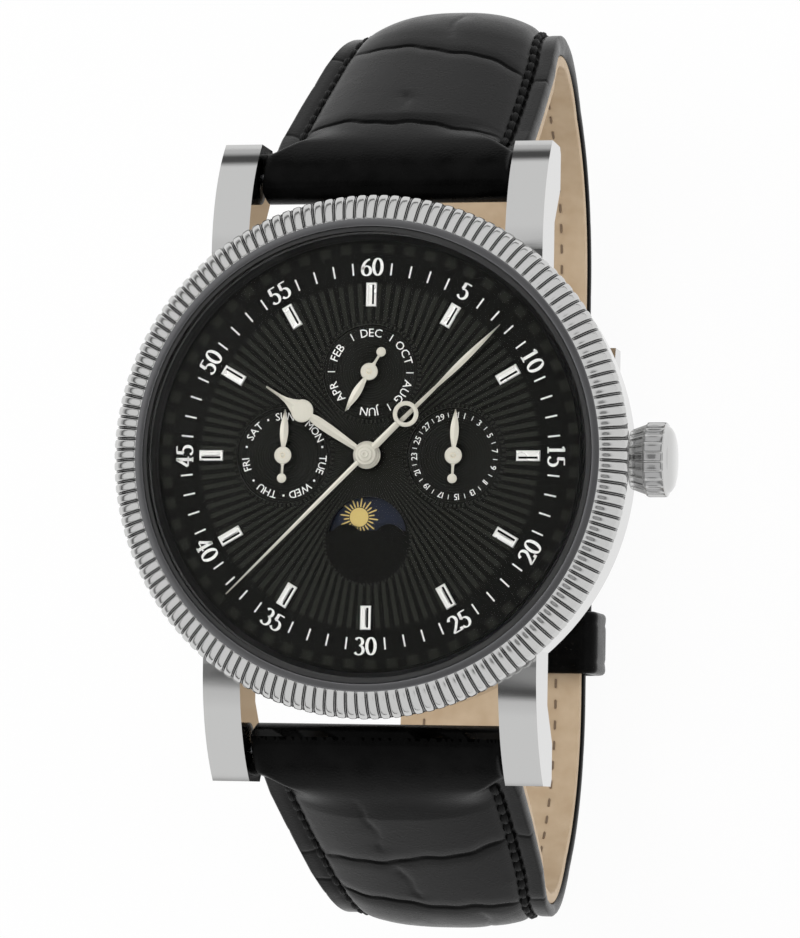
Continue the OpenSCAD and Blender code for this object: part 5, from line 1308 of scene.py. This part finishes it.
# %% Stitches
def stitches(name, path, start, end, inset, height, material, pitch=1.9, length=1.9, radius=0.32):
    """Two rows of stitches between two lengths: capsules of thread that dip into the leather at
    their ends, placed at half_width - inset on either side."""
    parts = []
    t = np.linspace(0, np.pi, 13)
    for s0 in np.arange(start, end, pitch):
        s = s0 - length / 2 * np.cos(t)
        w = half_width(path, s) - inset
        r = radius * np.sqrt(np.clip(np.sin(t), 0.04, 1))
        for sign in (-1, 1):
            h = height(s, w) + radius * (1.3 * np.sin(t) - 0.9)
            ring = np.linspace(0, 2 * np.pi, 9)[:-1]
            x = sign * w[:, None] + r[:, None] * np.cos(ring)
            rows = on_path(path, s[:, None] + 0 * x, h[:, None] + sign * r[:, None] * np.sin(ring), x)
            parts += capped(rows)
    return solid(name, parts, "watch", material)


def on_leather(path, shape):
    """The height of the leather's outer face, as a function of length and half width."""
    return lambda s, w: outer_height(path, s, w, *shape)


def on_lining(s, w):
    """Just inside the lining's face."""
    return 0 * s - 0.02


# The upper outer row ends where the loose keeper's travel begins.
HALVES = (("upper", UPPER, UPPER_SHAPE, 90, upper_end - 12),
          ("lower", LOWER, LOWER_SHAPE, tongue_start - 1, tongue_start - 1))
for half_name, path, shape, last, _ in HALVES:
    stitches("stitches_" + half_name, path, 5.4, last, STITCH_INSET, on_leather(path, shape), BLACK_THREAD)
for half_name, path, _, _, last in HALVES:
    stitches("stitches_inside_" + half_name, path, 6.5, last, 2.6, on_lining, BROWN_THREAD,
             pitch=2.0, length=0.9, radius=0.13)

# %% [markdown]
# ## Openings and keepers
# The tail has holes for the buckle's tang and a slot where the tang lies. They are cut with closed
# posts. Two loops hold the tail; each is a band of leather bent round the whole strap, made as a
# rounded section swept along a rounded rectangle.

# %% Openings
def prism(outline, z0, z1):
    """A closed upright prism over an outline, as a cutter."""
    return capped(two_levels(outline, z0, z1 - z0))


def oval(y, half_length, radius, count=32):
    """An outline with round ends: a circle of the radius, stretched to half_length along y."""
    t = np.linspace(0, 2 * np.pi, count, endpoint=False)
    middle = np.sign(np.round(np.sin(t), 6)) * (half_length - radius)
    return np.column_stack([radius * np.cos(t), y + radius * np.sin(t) + middle])


HOLE_R, HOLE_STEP, PIVOT_Y = 1.1, 6.2, 5.0
SLOT_Y, SLOT_HALF = 8.3, 3.1        # where the tang lies in the tail
holes = [oval(SLOT_Y, SLOT_HALF, HOLE_R)]
holes += [oval(PIVOT_Y + 2.8 + i * HOLE_STEP, HOLE_R, HOLE_R) for i in (-2, -1, 1, 2)]
cutters = []
for outline in holes:
    cutters += prism(outline, -1.0, 12.0)
for piece in (upper, upper_lining):
    cut(piece, cutters)


# %% Keepers
def rounded_path(half_x, z0, z1, radius, steps=9):
    """Points and outward normals round a rectangle with round corners, in the x-z plane."""
    points, normals = [], []
    for start, cx, cz in ((0, half_x - radius, z1 - radius), (90, radius - half_x, z1 - radius),
                          (180, radius - half_x, z0 + radius), (270, half_x - radius, z0 + radius)):
        t = np.radians(np.linspace(start, start + 90, steps))
        n = np.column_stack([np.cos(t), np.sin(t)])
        points += list(np.array([cx, cz]) + radius * n)
        normals += list(n)
    return np.array(points), np.array(normals)


def keeper(name, old, body):
    """A 6 mm band, 1.2 mm thick, with its outer edges rounded and a shallow groove beside each."""
    (_, y0, z0), (x1, y1, z1) = (np.array(c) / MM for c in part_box(old))
    wall, edge = 1.2, 0.45
    p, n = rounded_path(x1 - wall, z0 + wall, z1 - wall, 0.6)
    q = np.radians([180, 150, 120, 90])
    half = (y1 - y0) / 2
    v = np.linspace(-half + edge, half - edge, 15)
    groove = 0.08 * np.exp(-((np.abs(v) - half + 1.1) / 0.22) ** 2)
    across = np.concatenate([[-half], [-half], -half + edge + edge * np.cos(q[1:]), v[1:-1],
                             half - edge - edge * np.cos(q[::-1]), [half], [half - 0.3], [-half + 0.3]])
    height = np.concatenate([[0.12], [wall - edge], wall - edge + edge * np.sin(q[1:]), wall - groove[1:-1],
                             wall - edge + edge * np.sin(q[::-1]), [0.12], [0], [0]])
    rows = p[:, None, :] + n[:, None, :] * height[None, :, None]
    middle = (y0 + y1) / 2
    points = np.stack([rows[..., 0], np.broadcast_to(middle + across, rows.shape[:2]), rows[..., 1]], -1)
    parts = [(points.reshape(-1, 3), [grid_faces(*rows.shape[:2], True, True)])]
    piece = solid(name, parts, body, BLACK_LEATHER)
    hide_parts(old)


keeper("keeper_sewn", "fixed_keeper", "watch")
keeper("keeper_loose", "sliding_keeper", "sliding_keeper")
